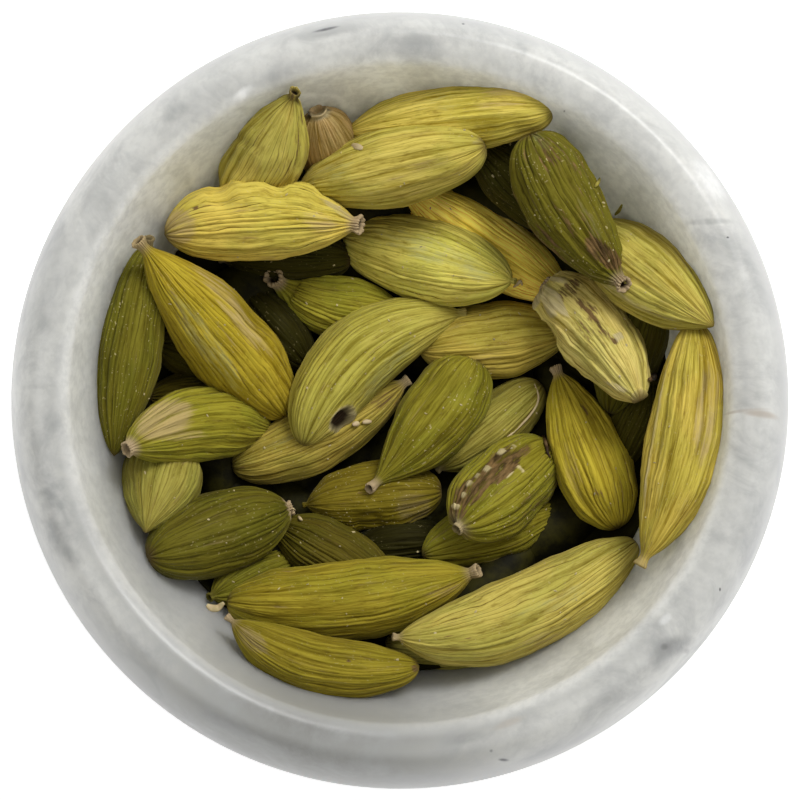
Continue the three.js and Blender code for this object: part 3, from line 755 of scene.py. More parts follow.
def rgba(colour, scale=1.0):
    """A colour at a strength, none of it over 1, with an alpha of 1."""
    return (*(min(1.0, scale * c) for c in colour), 1.0)


def new_material(name, roughness, specular, **constants):
    """An empty procedural material, its wiring and its shader."""
    material = bpy.data.materials.new(name)
    material.use_nodes = True
    shader = material.node_tree.nodes["Principled BSDF"]
    shader.inputs["Roughness"].default_value = roughness
    shader.inputs["Specular IOR Level"].default_value = specular
    for key, value in constants.items():
        shader.inputs[key.replace("_", " ")].default_value = value
    return material, Wiring(material.node_tree), shader


def geometry_tree(label, build, numbers):
    """A geometry node tree with a geometry in and out, named number inputs and a material."""
    tree = bpy.data.node_groups.new(label, "GeometryNodeTree")

    def socket(name, kind, in_out="INPUT"):
        return tree.interface.new_socket(name, in_out=in_out, socket_type="NodeSocket" + kind)

    socket("Geometry", "Geometry")
    for name, value in numbers.items():
        socket(name, "Int" if isinstance(value, int) else "Float").default_value = value
    socket("Material", "Material")
    socket("Geometry", "Geometry", "OUTPUT")
    w = Wiring(tree)
    given = tree.nodes.new("NodeGroupInput").outputs
    solid = w.add("GeometryNodeRealizeInstances", {"Geometry": build(w, given)})
    dressed = w.add(
        "GeometryNodeSetMaterial", {"Geometry": solid, "Material": given["Material"]})
    w.put(tree.nodes.new("NodeGroupOutput").inputs[0], dressed)
    return tree


def grown(name, mesh, tree, material, numbers):
    """The plain mesh that a geometry tree makes of a mesh."""
    carrier = bpy.data.objects.new(name + "_carrier", mesh)
    bpy.context.scene.collection.objects.link(carrier)
    modifier = carrier.modifiers.new(tree.name, "NODES")
    modifier.node_group = tree
    inputs = {**numbers, "Material": material}
    for item in tree.interface.items_tree:
        if item.in_out == "INPUT" and item.name in inputs:
            modifier[item.identifier] = inputs[item.name]
    graph = bpy.context.evaluated_depsgraph_get()
    result = bpy.data.meshes.new_from_object(carrier.evaluated_get(graph), depsgraph=graph)
    result.name = name
    carrier.modifiers.remove(modifier)
    bpy.data.objects.remove(carrier)
    return result


def attribute(w, name, kind="FLOAT"):
    return w.add("GeometryNodeInputNamedAttribute", {"Name": name}, data_type=kind)


def waves(w, phase, times=1):
    """Round crests with sharp grooves between them, so many for each whole step of the phase."""
    return w.math("ABSOLUTE", w.math("SINE", w.times(phase, times * math.pi)))


def husk_noise(w, husk, seed):
    """Noise on husks at so many blots a centimetre round and along, and unlike on each pod."""
    shift = w.joined(*(w.times(seed, step) for step in (5.3, 2.9, 1.7)))

    def noise(around, lengthwise, detail=2.0, roughness=0.5):
        place = w.vector("MULTIPLY", husk, (around, around, lengthwise))
        return w.noise(w.vector("ADD", place, shift), detail=detail, roughness=roughness)

    return noise


def rib_phase(w, noise, turn, ribs):
    """Counts ribs round a husk, wandering a little. Its relief and its colour both use them."""
    drift = noise(0.9, 0.8)
    bend = w.plus(w.times(drift, 2.6), w.times(noise(2.6, 2.4), 1.6))
    return w.linear(turn, ribs, bend), drift


def husk_relief(w, given):
    """Raises a pod's ribs, folds and lumps, and keeps the ribs' height for the husk's colour, where
    it sets the painted highlight on crests and the painted shade in grooves.
    """
    noise = husk_noise(w, attribute(w, "husk", "FLOAT_VECTOR"), attribute(w, "seed"))
    turn = attribute(w, "turn")
    ribbed, thin, lumpy = w.split(attribute(w, "form", "FLOAT_VECTOR"))
    rough = w.split(attribute(w, "ends", "FLOAT_VECTOR"))[2]
    phase, drift = rib_phase(w, noise, turn, given["Rib Count"])
    ribs = waves(w, phase)
    folds = waves(w, w.linear(turn, given["Fold Count"], w.times(drift, 1.5)))
    streak = noise(6.5, 0.8, detail=3.0, roughness=0.6)
    fibre = noise(11.0, 1.2, detail=3.0, roughness=0.6)
    bark = noise(6.0, 3.5, detail=3.0, roughness=0.7)
    lump = w.noise(w.add("GeometryNodeInputPosition"), scale=210.0)
    full = w.math("SUBTRACT", 1.0, thin)
    rib_share = w.times(ribbed, w.ramp(noise(2.6, 0.7), 0.38, 0.66, 0.08, 1.0), full)
    fold_share = w.times(ribbed, w.linear(thin, 0.6, 0.4))

    ridge = w.linear(folds, w.times(fold_share, 0.5), w.times(ribs, w.times(rib_share, 0.4)))
    ridge = w.linear(streak, 0.8, w.linear(fibre, 0.5, ridge))
    stored = given["Geometry"]
    for label, value in (("ridge", ridge), ("furrow", rib_share)):
        values = {"Geometry": stored, "Name": label, "Value": value}
        stored = w.add(
            "GeometryNodeStoreNamedAttribute", values, data_type="FLOAT", domain="POINT")
    height = w.plus(*(w.times(w.centred(form), share, given[depth]) for form, share, depth in (
        (ribs, rib_share, "Rib Depth"),
        (folds, fold_share, "Fold Depth"),
        (streak, full, "Streak Depth"),
        (lump, w.times(lumpy, full), "Lump Height"),
        (bark, rough, "Roughness Height"),
    )))
    offset = w.stretched(w.add("GeometryNodeInputNormal"), height)
    return w.add("GeometryNodeSetPosition", {"Geometry": stored, "Offset": offset})


# ---- materials -------------------------------------------------------------------------------


def husk_material(name, tone, pods):
    """A dry ribbed husk with a painted highlight on its crests and painted shade in its grooves,
    and each pod's stalk, scars and pale marks.
    """
    material, w, shader = new_material(
        name, roughness=0.58, specular=0.13, Specular_Tint=(1.0, 0.95, 0.5, 1.0),
        Sheen_Weight=0.03, Sheen_Roughness=0.4)

    def given(field, out=1):
        return w.add("ShaderNodeAttribute", out=out, attribute_name=field)

    noise, ridge = husk_noise(w, given("husk"), given("seed", 2)), given("ridge", 2)
    stalk, nub, rough = w.split(given("ends"))
    scar, pale, hollow = w.split(given("marks"))
    tan, dust, _ = w.split(given("bloom"))
    shade, warm, speck = w.split(given("tint"))
    phase, _ = rib_phase(w, noise, given("turn", 2), pods.rib_count)
    fibre = noise(9.5, 1.3, detail=4.0, roughness=0.7)
    patch = noise(0.9, 1.4, detail=3.0, roughness=0.55)
    mottle = noise(5.0, 2.6, detail=5.0, roughness=0.7)
    pitting = noise(8.0, 6.0, detail=3.0, roughness=0.7)
    scurf = noise(15.0, 40.0, detail=1.0)

    # Crests are painted paler and grooves darker: painted highlight and painted shade over the
    # ribs.
    crest = w.ramp(w.linear(fibre, 1.1, ridge), 0.85, 1.55)
    groove, top = (rgba([c * k for c, k in zip(tone, strength)])
                   for strength in ((0.50, 0.43, 0.12), (1.40, 1.38, 1.8)))
    colour = w.mix(crest, groove, top)
    # Dark lines in the grooves, as painted shade, and finer lines between them, then the tints:
    # dull patches, ripe patches, brown mottling, those two kinds of lines, and shaded pits.
    furrow = w.times(given("furrow", 2), w.ramp(fibre, 0.30, 0.62))
    line = w.times(w.ramp(waves(w, phase), 0.36, 0.0), furrow)
    fine = w.times(w.ramp(waves(w, phase, 2), 0.5, 0.0, 0.05, 0.75), w.ramp(mottle, 0.35, 0.6))
    for share, tint in (
        (w.ramp(patch, 0.40, 0.64), (0.84, 0.92, 0.85)),
        (w.ramp(w.plus(patch, warm), 0.5, 0.95, 0.0, 0.6), (1.0, 0.80, 0.45)),
        (w.ramp(mottle, 0.48, 0.72, 0.0, 0.7), (0.62, 0.56, 0.42)),
        (w.math("MULTIPLY", line, 1.3, clamp=True), (0.30, 0.25, 0.16)),
        (fine, (0.66, 0.60, 0.46)),
        (w.ramp(pitting, 0.48, 0.28, 0.0, 0.8), (0.60, 0.55, 0.45)),
    ):
        colour = w.tinted(share, colour, tint)
    uneven = w.plus(w.centred(mottle), w.centred(fibre))
    blotted = w.ramp(w.linear(uneven, 1.6, tan), 0.15, 0.95, 0.0, 0.85)
    colour = w.mix(blotted, colour, w.varied(crest, pods.patch, 0.45, 1.15))
    dusted = w.linear(w.plus(uneven, w.centred(pitting)), 1.3, dust)
    colour = w.mix(w.ramp(dusted, 0.2, 1.1, 0.0, 0.7), colour, rgba(pods.dust))
    # Each pod's shade: its own tone, darker for pods low in the heap as painted shade, and lighter
    # for some that lie under others as painted light.
    colour = w.stretched(colour, shade)

    pits = w.times(w.ramp(fibre, 0.62, 0.74), w.ramp(mottle, 0.44, 0.62, 0.0, 0.6))
    colour = w.tinted(pits, colour, (0.40, 0.30, 0.22))
    flecked = w.times(w.ramp(scurf, 0.66, 0.74), w.linear(speck, 0.8, 0.08))
    worn_patch = w.ramp(w.math("SUBTRACT", patch, w.times(ridge, 0.12)), 0.30, 0.50)
    worn = w.math("MAXIMUM", scar, w.times(rough, worn_patch, 0.55))
    ragged = w.plus(w.centred(pitting), uneven)
    scarred = w.ramp(w.linear(ragged, 1.6, worn), 0.35, 0.80)
    whitened = w.ramp(w.linear(ragged, 0.6, pale), 0.25, 0.9, 0.0, 0.9)
    for share, over in (
        (w.times(flecked, w.ramp(patch, 0.38, 0.52)), rgba(pods.crumb)),
        (w.times(scarred, w.ramp(worn, 0.03, 0.3)),
         w.varied(w.ramp(pitting, 0.3, 0.7), pods.scar, 0.3, 1.7)),
        (whitened, w.varied(w.ramp(fibre, 0.3, 0.7), pods.crumb, 0.55, 1.1)),
        (w.times(nub, 0.6), rgba(pods.scar)),
        (w.ramp(stalk, 0.05, 0.95, 0.0, 0.95), w.varied(mottle, pods.stalk, 0.55, 1.2)),
        # Painted shade inside hollows and splits.
        (hollow, rgba(pods.hollow)),
    ):
        colour = w.mix(share, colour, over)
    w.put(shader.inputs["Base Color"], colour)
    roughened = w.plus(fibre, w.times(pitting, 0.6))
    w.bump(shader, strength=0.8, distance=0.00016, height=roughened)
    return material


# Marks in the marble, with some painted shadows and a painted highlight among them, placed as the
# pods are: half length and half width in mm, the turn of the length from the right in degrees, and
# the strength. A kind lies over those before it.
BLOTS = {
    "cloud": (
        # Three of these, on the inner wall at (676, 222), (641, 590) and (197, 153), are painted
        # shadows of pods.
        ((330, 29), 4.5, 0.9, 8, 0.6), ((712, 216), 3.6, 0.40, 4, 0.5),
        ((676, 222), 1.6, 0.9, 20, 0.5), ((752, 398), 2.4, 1.6, -10, 0.5),
        ((677, 646), 2.9, 1.3, 12, 0.95), ((641, 590), 1.9, 1.1, 10, 0.8),
        ((226, 722), 3.6, 0.8, -24, 0.75), ((137, 684), 3.0, 0.6, -32, 0.6),
        ((75, 556), 2.2, 0.8, -30, 0.5), ((197, 153), 2.2, 0.6, -22, 0.55),
        ((46, 323), 1.1, 1.6, 10, 0.35), ((177, 112), 2.2, 0.9, 30, 0.4),
        ((38, 385), 2.2, 0.35, 2, 0.3), ((470, 738), 2.6, 0.7, 8, 0.6),
        ((250, 40), 3.2, 0.9, 25, 0.4), ((732, 240), 2.6, 1.0, -65, 0.45),
        # From here on the clouds lie round the outer flank and darken it, partly as marble cloud
        # and partly as painted shade.
        ((420, 38), 3.4, 1.0, 4, 0.4), ((420, 778), 6.5, 1.0, 2, 0.7),
        ((560, 748), 6.0, 1.1, 22, 0.75), ((690, 655), 4.5, 0.9, 48, 0.5),
        ((752, 262), 4.5, 0.9, -66, 0.6),
    ),
    "stain": (
        ((765, 413), 2.4, 0.45, -6, 0.8), ((745, 410), 3.2, 0.22, 5, 0.5),
        ((512, 724), 2.0, 0.5, 20, 0.4),
    ),
    "white": (
        # The first white patch, on the inner edge at the top left, is a painted highlight.
        ((243, 93), 1.5, 0.6, 38, 0.9), ((665, 620), 0.9, 0.5, 40, 0.5),
        ((712, 175), 3.0, 2.0, -50, 0.4),
    ),
    "vein": (
        ((328, 27), 1.5, 0.22, 12, 0.95), ((466, 20), 0.20, 0.15, 0, 1.0),
        ((569, 105), 0.15, 0.12, 0, 1.0), ((730, 232), 0.16, 0.13, 0, 1.0),
        ((719, 588), 0.13, 0.22, 0, 1.0), ((507, 761), 0.65, 0.18, -3, 1.0),
        ((495, 752), 0.2, 0.2, 0, 0.5), ((664, 647), 0.5, 0.4, 20, 0.35),
        ((687, 650), 0.5, 0.35, 0, 0.3),
    ),
}
BLOT_DEPTH = 0.004
STONE_ROUNDS = 4

# The shade on the near left of the rim: its middle, its half sizes, its turn and its strength.
RIM_SHADE = ((-0.010, -0.034, 0.028), (0.032, 0.016, 0.018), -12, 0.85)
FROM_LIGHT = (-0.54, -0.84, 0)


def stone_height(bowl, outward):
    """Height in mm of the rim's top surface at a distance in mm from the middle."""
    flat, radius = bowl.rim_flat_radius / MM, bowl.radius / MM
    share = min(1.0, max(0.0, (outward - flat) / (radius - flat)))
    widest, top = bowl.widest_height / MM, bowl.height / MM
    return widest + (top - widest) * math.sqrt(1 - share**2)


def stone_place(bowl, point):
    """Place in mm on the rim's top surface that shows at a point of the grid."""
    height = bowl.height / MM
    for _ in range(STONE_ROUNDS):
        place = on_grid(point, height)
        height = stone_height(bowl, float(np.hypot(*place)))
    return (*place, height)


def marble_material(bowl):
    """White marble with grey clouds, thin veins, pits and a warm stain, under a polish. Painted
    shade greys parts of it, painted light whitens its inner wall, and one patch is a painted
    highlight.
    """
    material, w, shader = new_material(
        "polished_marble", roughness=0.33, specular=0.35,
        Subsurface_Weight=bowl.translucency, Subsurface_Scale=bowl.light_depth,
        Subsurface_Radius=(1.0, 0.98, 0.92))
    place = w.place()
    drift = w.add("ShaderNodeTexNoise", {"Vector": place, "Scale": 38.0, "Detail": 3.0}, out=1)
    drift = w.vector("SUBTRACT", drift, (0.5, 0.5, 0.5))

    def wandering(by):
        """A place that strays from itself by a share of a slow noise."""
        return w.vector("ADD", place, w.vector("MULTIPLY", drift, (by, by, by)))

    warped = wandering(0.028)
    broad = w.noise(warped, scale=58.0, detail=5.0, roughness=0.58)
    cloud = w.noise(warped, scale=240.0, detail=5.0, roughness=0.68)
    grain = w.noise(place, scale=1100.0, detail=3.0, roughness=0.6)
    seam = w.noise(wandering(0.05), scale=27.0, detail=3.0)

    rim, top = bowl.rim_flat_radius, bowl.height
    across = w.vector("LENGTH", w.vector("MULTIPLY", place, (1, 1, 0)))
    height = w.split(warped)[2]
    near = w.vector("DOT_PRODUCT", warped, FROM_LIGHT)
    # Painted light: the inner wall is coloured whiter than the rim, with fewer clouds, to brighten
    # it.
    inside = w.ramp(across, rim - 0.0012, cavity_edge(bowl)[0])
    colour = w.mix(inside, rgba(bowl.stone), rgba(bowl.wall))
    # Painted shade greys the stone: the near left of the rim, the near inner edge and deep in the
    # near wall, on the side away from the light, the far flank outside where it faces the light,
    # and the underside. Each goes with how much of the colour is left.
    for share, left in (
        (blot_mask(w, place, *RIM_SHADE), 0.32),
        (w.times(w.ramp(near, 0.002, 0.028), w.ramp(across, rim, bowl.girth)), 0.74),
        (w.times(w.ramp(height, top - 0.0015, top - 0.0085), w.ramp(near, -0.012, 0.012)), 0.72),
        (w.times(w.ramp(across, 0.0325, 0.0345), w.ramp(near, 0.004, -0.022)), 0.66),
        (w.times(w.ramp(height, 0.016, 0.0), w.ramp(inside, 0.1, 0.0)), 0.60),
    ):
        colour = w.tinted(share, colour, (left, left, left))
    grey = w.plus(w.ramp(broad, 0.38, 0.68, 0.0, 0.50), w.ramp(cloud, 0.42, 0.72, 0.0, 0.60))
    colour = w.mix(w.times(grey, w.linear(inside, -0.55, 1.0)), colour, rgba(bowl.cloud))
    thread = w.ramp(w.math("ABSOLUTE", w.centred(seam)), 0.0, 0.02, 0.35, 0.0)
    threaded = w.times(thread, w.ramp(broad, 0.42, 0.6), w.linear(inside, -0.7, 1.0))
    colour = w.mix(threaded, colour, rgba(bowl.cloud, 0.7))
    ragged = wandering(0.0016)
    tones = {"cloud": rgba(bowl.cloud, 0.80), "stain": rgba(bowl.stain),
             "white": rgba((0.93, 0.93, 0.91)), "vein": rgba(bowl.vein)}
    for kind, tone in tones.items():
        masks = []
        for at, long, wide, turn, strength in BLOTS[kind]:
            centre = [c * MM for c in stone_place(bowl, at)]
            radii = (long * MM, wide * MM, BLOT_DEPTH)
            masks.append(blot_mask(w, ragged, centre, radii, turn, strength))
        total = reduce(lambda a, b: w.math("MAXIMUM", a, b), masks)
        if kind == "cloud":
            total = w.times(total, w.ramp(cloud, 0.30, 0.60, 0.35, 1.0))
        colour = w.mix(total, colour, tone)
    colour = w.mix(w.ramp(grain, 0.36, 0.68, 0.0, 0.26), colour, rgba(bowl.cloud))
    w.put(shader.inputs["Base Color"], colour)
    return material


def blot_mask(w, place, centre, radii, turn, strength):
    """A soft round patch of a strength, 0 outside its radii."""
    values = {"Vector": place, "Location": centre, "Rotation": (0, 0, math.radians(turn)),
              "Scale": radii}
    mapped = w.add("ShaderNodeMapping", values, vector_type="TEXTURE")
    return w.ramp(w.vector("LENGTH", mapped), 1.0, 0.25, 0.0, strength)


def mottled_material(name, low, high, roughness, specular, scale, detail=3.0, fineness=0.6,
                     ends=(0.35, 0.65), bump=0.0):
    """A material in small blots from one tone to another."""
    material, w, shader = new_material(name, roughness, specular)
    mottle = w.noise(w.place(), scale, detail, fineness)
    share = w.ramp(mottle, *ends) if ends else mottle
    w.put(shader.inputs["Base Color"], w.mix(share, low, high))
    if bump:
        w.bump(shader, strength=0.6, distance=bump, height=mottle)
    return material


# ---- operators -------------------------------------------------------------------------------


def arc(centre, across, rise, start, end, steps):
    """Points of part of an ellipse, as a distance from the axis and a height."""
    angle = np.linspace(start, end, steps)
    points = np.column_stack([across * np.cos(angle), rise * np.sin(angle)])
    return points + centre


def cavity(bowl, steps, inset=0.0):
    """The cavity's wall from its rounded edge down to the axis."""
    across, rise = bowl.girth - inset, bowl.rise - inset
    return arc((0, cavity_edge(bowl)[2]), across, rise, -bowl.edge_angle, -math.pi / 2, steps)


def turned(name, profile, segments):
    """A closed surface of revolution from a profile that starts and ends on the axis."""
    inner = profile[1:-1]
    angle = 2 * np.pi * np.arange(segments) / segments
    rings = np.stack([inner[:, :1] * np.cos(angle), inner[:, :1] * np.sin(angle),
                      np.repeat(inner[:, 1:], segments, 1)], -1)
    points = np.vstack([rings.reshape(-1, 3), [0, 0, profile[0][1]], [0, 0, profile[-1][1]]])
    return mesh_from(name, [(points, *capped_tube(len(inner), segments), {})], 1.0)


class CARDAMOM_OT_bowl(bpy.types.Operator):
    """Makes the marble pinch bowl"""

    bl_idname = "cardamom.bowl"
    bl_label = "Marble bowl"

    BELLY_STEPS, SHOULDER_STEPS, EDGE_STEPS, WALL_STEPS = 40, 28, 12, 48

    def execute(self, context):
        bowl, _, _ = settings(context)
        quarter, widest = math.pi / 2, bowl.widest_height
        foot, flat, rounding = bowl.foot_radius, bowl.rim_flat_radius, bowl.edge_round
        belly = arc(
            (foot, widest), bowl.radius - foot, widest, -quarter, 0, self.BELLY_STEPS)
        shoulder = arc((flat, widest), bowl.radius - flat, bowl.height - widest,
                       0, quarter, self.SHOULDER_STEPS)
        radius, lean, _ = cavity_edge(bowl)
        centre = (radius + rounding * math.cos(lean), bowl.height - rounding)
        edge = arc(centre, rounding, rounding, quarter, 2 * quarter - lean, self.EDGE_STEPS)
        wall = cavity(bowl, self.WALL_STEPS)
        profile = np.vstack([[0, 0], belly, shoulder[1:], edge, wall[1:-1], [0, wall[-1][1]]])
        mesh = turned("bowl_stone", profile, bowl.segments)
        placed("bowl_stone", mesh, marble_material(bowl), "marble", "bowl")
        return {"FINISHED"}


class CARDAMOM_OT_core(bpy.types.Operator):
    """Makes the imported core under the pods"""

    bl_idname = "cardamom.core"
    bl_label = "Packed core"

    SUNK, GAP, LINING = 0.003, 0.0002, 0.0004
    STEPS, SEGMENTS = 60, 96

    def execute(self, context):
        bowl, pods, _ = settings(context)
        level = pods.core_height - self.SUNK
        wall, face = (
            cavity(bowl, self.STEPS, inset) for inset in (self.GAP, self.GAP + self.LINING))
        lined = wall[:, 0] < pods.packed_reach
        above = face[(face[:, 0] < pods.packed_reach) & (face[:, 1] > level)]
        profile = np.vstack([wall[lined][::-1], above, [0, level]])
        profile[0] = [0, profile[0][1]]
        mesh = turned("packed_core", profile, self.SEGMENTS)
        # The core and its lining are painted near black: painted shade in the gaps between pods.
        low, high = rgba(pods.dark, 0.02), rgba(pods.dark, 0.12)
        material = mottled_material(
            "packed_core", low, high, roughness=0.9, specular=0.1, scale=900.0, fineness=0.5,
            ends=None)
        placed("packed_core", mesh, material, *HEAP)
        return {"FINISHED"}


class CARDAMOM_OT_pods(bpy.types.Operator):
    """Makes the pods that show, one piece for each kind of husk"""

    bl_idname = "cardamom.pods"
    bl_label = "Pods that show"

    DEEP_PODS = 11
    COARSE, FINE = (112, 36), (184, 50)

    def execute(self, context):
        bowl, pods, _ = settings(context)
        numbers = {
            "Rib Count": pods.rib_count, "Fold Count": pods.fold_count,
            "Rib Depth": pods.rib_depth, "Fold Depth": pods.fold_depth,
            "Lump Height": pods.lump_height, "Roughness Height": pods.bark_height,
            "Streak Depth": pods.streak_depth,
        }
        relief = geometry_tree("Husk relief", husk_relief, numbers)
        shells = {kind: [] for kind in KINDS}
        for number, (pod, rest) in enumerate(zip(PODS, settle(bowl, pods))):
            around, steps = self.COARSE if number < self.DEEP_PODS else self.FINE
            shells[pod.kind].append(shell_of(pod, rest, number, pods, around, steps))
        for kind, group in shells.items():
            name = "pods_" + kind
            material = husk_material("husk_" + kind, getattr(pods, kind), pods)
            mesh = grown(name, mesh_from(name, group), relief, material, numbers)
            placed(name, mesh, None, *HEAP)
        return {"FINISHED"}


def buried_pods(w, given):
    """Lays plain pods on a sunflower spiral, each along the wall and a little askew."""
    index = w.add("GeometryNodeInputIndex")
    share = w.math("DIVIDE", w.plus(index, 0.5), given["Pod Count"])
    outward = w.times(w.math("SQRT", share), given["Spread"])
    angle = w.times(index, math.pi * (3 - math.sqrt(5)))
    across = [w.times(outward, w.math(turn, angle)) for turn in ("COSINE", "SINE")]
    height = w.linear(w.times(share, share), given["Climb"], given["Level"])
    spots = {"Count": given["Pod Count"], "Position": w.joined(*across, height)}
    ball = w.add("GeometryNodeMeshUVSphere", {"Segments": 28, "Rings": 18, "Radius": 0.5})
    size = w.joined(given["Pod Length"], given["Pod Width"], given["Pod Width"])
    pod = w.add("GeometryNodeTransform", {"Geometry": ball, "Scale": size})
    limits = {"Min": -0.6, "Max": 0.6, "Seed": given["Seed"]}
    askew = w.add("FunctionNodeRandomValue", limits, out=1, data_type="FLOAT")
    heading = w.joined(0.0, 0.0, w.plus(angle, math.pi / 2, askew))
    points = w.add("GeometryNodePoints", spots)
    laid = {"Points": points, "Instance": pod, "Rotation": heading}
    return w.add("GeometryNodeInstanceOnPoints", laid)


class CARDAMOM_OT_buried(bpy.types.Operator):
    """Makes the buried pods that show dimly in the gaps"""

    bl_idname = "cardamom.buried"
    bl_label = "Buried pods"

    SEED = 3
    SUNK = 0.53

    def execute(self, context):
        _, pods, _ = settings(context)
        numbers = {
            "Pod Count": pods.buried_count, "Spread": pods.buried_spread,
            "Pod Length": pods.buried_length, "Pod Width": pods.buried_width,
            "Level": pods.core_height - self.SUNK * pods.buried_width,
            "Climb": pods.buried_climb, "Seed": self.SEED,
        }
        tree = geometry_tree("Buried pods", buried_pods, numbers)
        # Painted shade: the buried pods are coloured near black, the shade of the gaps they show
        # in.
        low, high = rgba(pods.dark, 0.04), rgba(pods.dark, 0.2)
        material = mottled_material(
            "husk_buried", low, high, roughness=0.7, specular=0.15, scale=420.0, detail=4.0,
            bump=0.0002)
        empty = bpy.data.meshes.new("pods_buried")
        mesh = grown("pods_buried", empty, tree, material, numbers)
        mesh.shade_smooth()
        placed("pods_buried", mesh, None, *HEAP)
        return {"FINISHED"}


# ---- crumbs and shreds -----------------------------------------------------------------------

# Each shred is a half thickness in mm, how round it is, and a route of points on the grid with a
# height in mm over what shows there.
SHREDS = {
    "dark": (
        (0.17, 1.0, ((533, 432, 0.25), (536, 429, 0.75), (541, 433, 0.7), (545, 440, 0.45),
                     (547, 447, 0.4), (548, 453, 0.35), (551, 458, 0.2))),
        (0.38, 0.9, ((650, 380, 0.5), (653, 377, 0.8), (656, 376, 0.5))),
    ),
    "pale": (
        (0.16, 1.0, ((294, 509, 0.2), (297, 513, 0.45), (300, 518, 0.3), (303, 521, 0.1))),
        (0.34, 0.35, ((208, 605, 0.5), (213, 608, 0.55), (219, 608, 0.5), (225, 603, 0.35))),
        (0.12, 0.6, ((558, 513, 0.3), (559, 521, 0.35), (560, 530, 0.3))),
        (0.30, 0.25, ((352, 143, 0.1), (357, 145, 0.14), (363, 147, 0.1))),
        (0.26, 0.7, ((353, 425, 0.2), (357, 424, 0.25), (360, 424, 0.2))),
        (0.22, 0.7, ((363, 423, 0.2), (367, 422, 0.25), (372, 422, 0.2))),
        (0.16, 0.7, ((514, 287, 0.15), (518, 284, 0.35), (521, 281, 0.35), (523, 285, 0.15))),
        (0.36, 0.9, ((417, 374, 0.3), (419, 371, 0.6), (421, 368, 0.4))),
        (0.11, 0.6, ((486, 455, 0.0), (510, 436, 0.1), (531, 415, 0.15), (539, 399, 0.15),
                     (535, 384, 0.1))),
    ),
    "olive": (
        (0.16, 0.6, ((616, 214, 0.1), (620, 210, 0.3), (623, 204, 0.6))),
        (0.16, 0.6, ((596, 186, 0.1), (599, 182, 0.3), (601, 177, 0.5))),
    ),
}
SHRED_SIDES = 8
SHRED_STEPS = 6
SHRED_FINISH = {"roughness": 0.6, "specular": 0.2, "scale": 1500.0}


def viewpoint(stage, bowl):
    """Where the camera is, and the way to it from the bowl."""
    away = Vector((0, -math.cos(stage.elevation), math.sin(stage.elevation)))
    return Vector((0, 0, bowl.widest_height)) + away * stage.distance, away


def seen_at(pieces, eye, point):
    """Where the pieces show at a point of the grid, in metres, and the way they face there."""
    toward = (Vector((*on_grid(point), GRID_HEIGHT)) * MM - eye).normalized()
    hits = []
    for piece in pieces:
        found, spot, facing, _ = piece.ray_cast(eye, toward)
        if found:
            hits.append(((spot - eye).length, spot, facing))
    return min(hits, key=lambda hit: hit[0])[1:] if hits else (None, None)


def smooth_route(points):
    """A Catmull-Rom curve through points."""
    points = np.array(points, float)
    padded = np.vstack([2 * points[0] - points[1], points, 2 * points[-1] - points[-2]])
    t = np.linspace(0, 1, SHRED_STEPS, endpoint=False)[:, None]
    runs = []
    for before, start, stop, after in zip(padded, padded[1:], padded[2:], padded[3:]):
        square = 2 * before - 5 * start + 4 * stop - after
        cube = 3 * start - before - 3 * stop + after
        runs.append(0.5 * (2 * start + (stop - before) * t + square * t**2 + cube * t**3))
    return np.vstack([*runs, points[-1:]])


def strand(route, thick, flat):
    """A closed shred along a route in metres, thinner at its ends and flattened."""
    route = smooth_route(route)
    along = np.linspace(0, 1, len(route))
    tangent = np.gradient(route, axis=0)
    tangent /= np.linalg.norm(tangent, axis=1, keepdims=True)
    side = np.cross(tangent, (0, 0, 1))
    side /= np.maximum(np.linalg.norm(side, axis=1, keepdims=True), 1e-6)
    up = np.cross(side, tangent)
    reach = thick * MM * (0.25 + 0.75 * np.sqrt(np.sin(np.pi * np.clip(along, 0.02, 0.98))))
    angle = 2 * np.pi * np.arange(SHRED_SIDES) / SHRED_SIDES
    ring = side[:, None] * np.sin(angle)[:, None] + flat * up[:, None] * np.cos(angle)[:, None]
    points = route[:, None] + reach[:, None, None] * ring
    corners = np.vstack([points.reshape(-1, 3), route[:1], route[-1:]])
    return corners, *capped_tube(len(route), SHRED_SIDES), {}


def crumbs(w, given):
    """Lays a small uneven crumb on each point, flat on the husk."""
    crumb, seed = given["Crumb Size"], {"Seed": given["Seed"]}
    grain = w.add("GeometryNodeMeshIcoSphere", {"Radius": crumb, "Subdivisions": 1})
    facing = attribute(w, "facing", "FLOAT_VECTOR")
    upright = w.add("FunctionNodeAlignRotationToVector", {"Vector": facing}, axis="Z")
    spin, size = (
        w.add("FunctionNodeRandomValue", {**limits, **seed}, data_type="FLOAT_VECTOR")
        for limits in ({"Max": (0.0, 0.0, 6.28)},
                       {"Min": (0.5, 0.4, 0.25), "Max": (1.9, 1.1, 0.7)}))
    turn = {"Rotation": upright, "Rotate By": spin}
    turn = w.add("FunctionNodeRotateRotation", turn, rotation_space="LOCAL")
    laid = {"Points": given["Geometry"], "Instance": grain, "Rotation": turn, "Scale": size}
    laid = w.add("GeometryNodeInstanceOnPoints", laid)
    solid = w.add("GeometryNodeRealizeInstances", {"Geometry": laid})
    uneven = w.centred(w.noise(w.add("GeometryNodeInputPosition"), scale=9000.0, detail=1.0))
    offset = w.stretched(w.add("GeometryNodeInputNormal"), w.times(uneven, crumb))
    return w.add("GeometryNodeSetPosition", {"Geometry": solid, "Offset": offset})


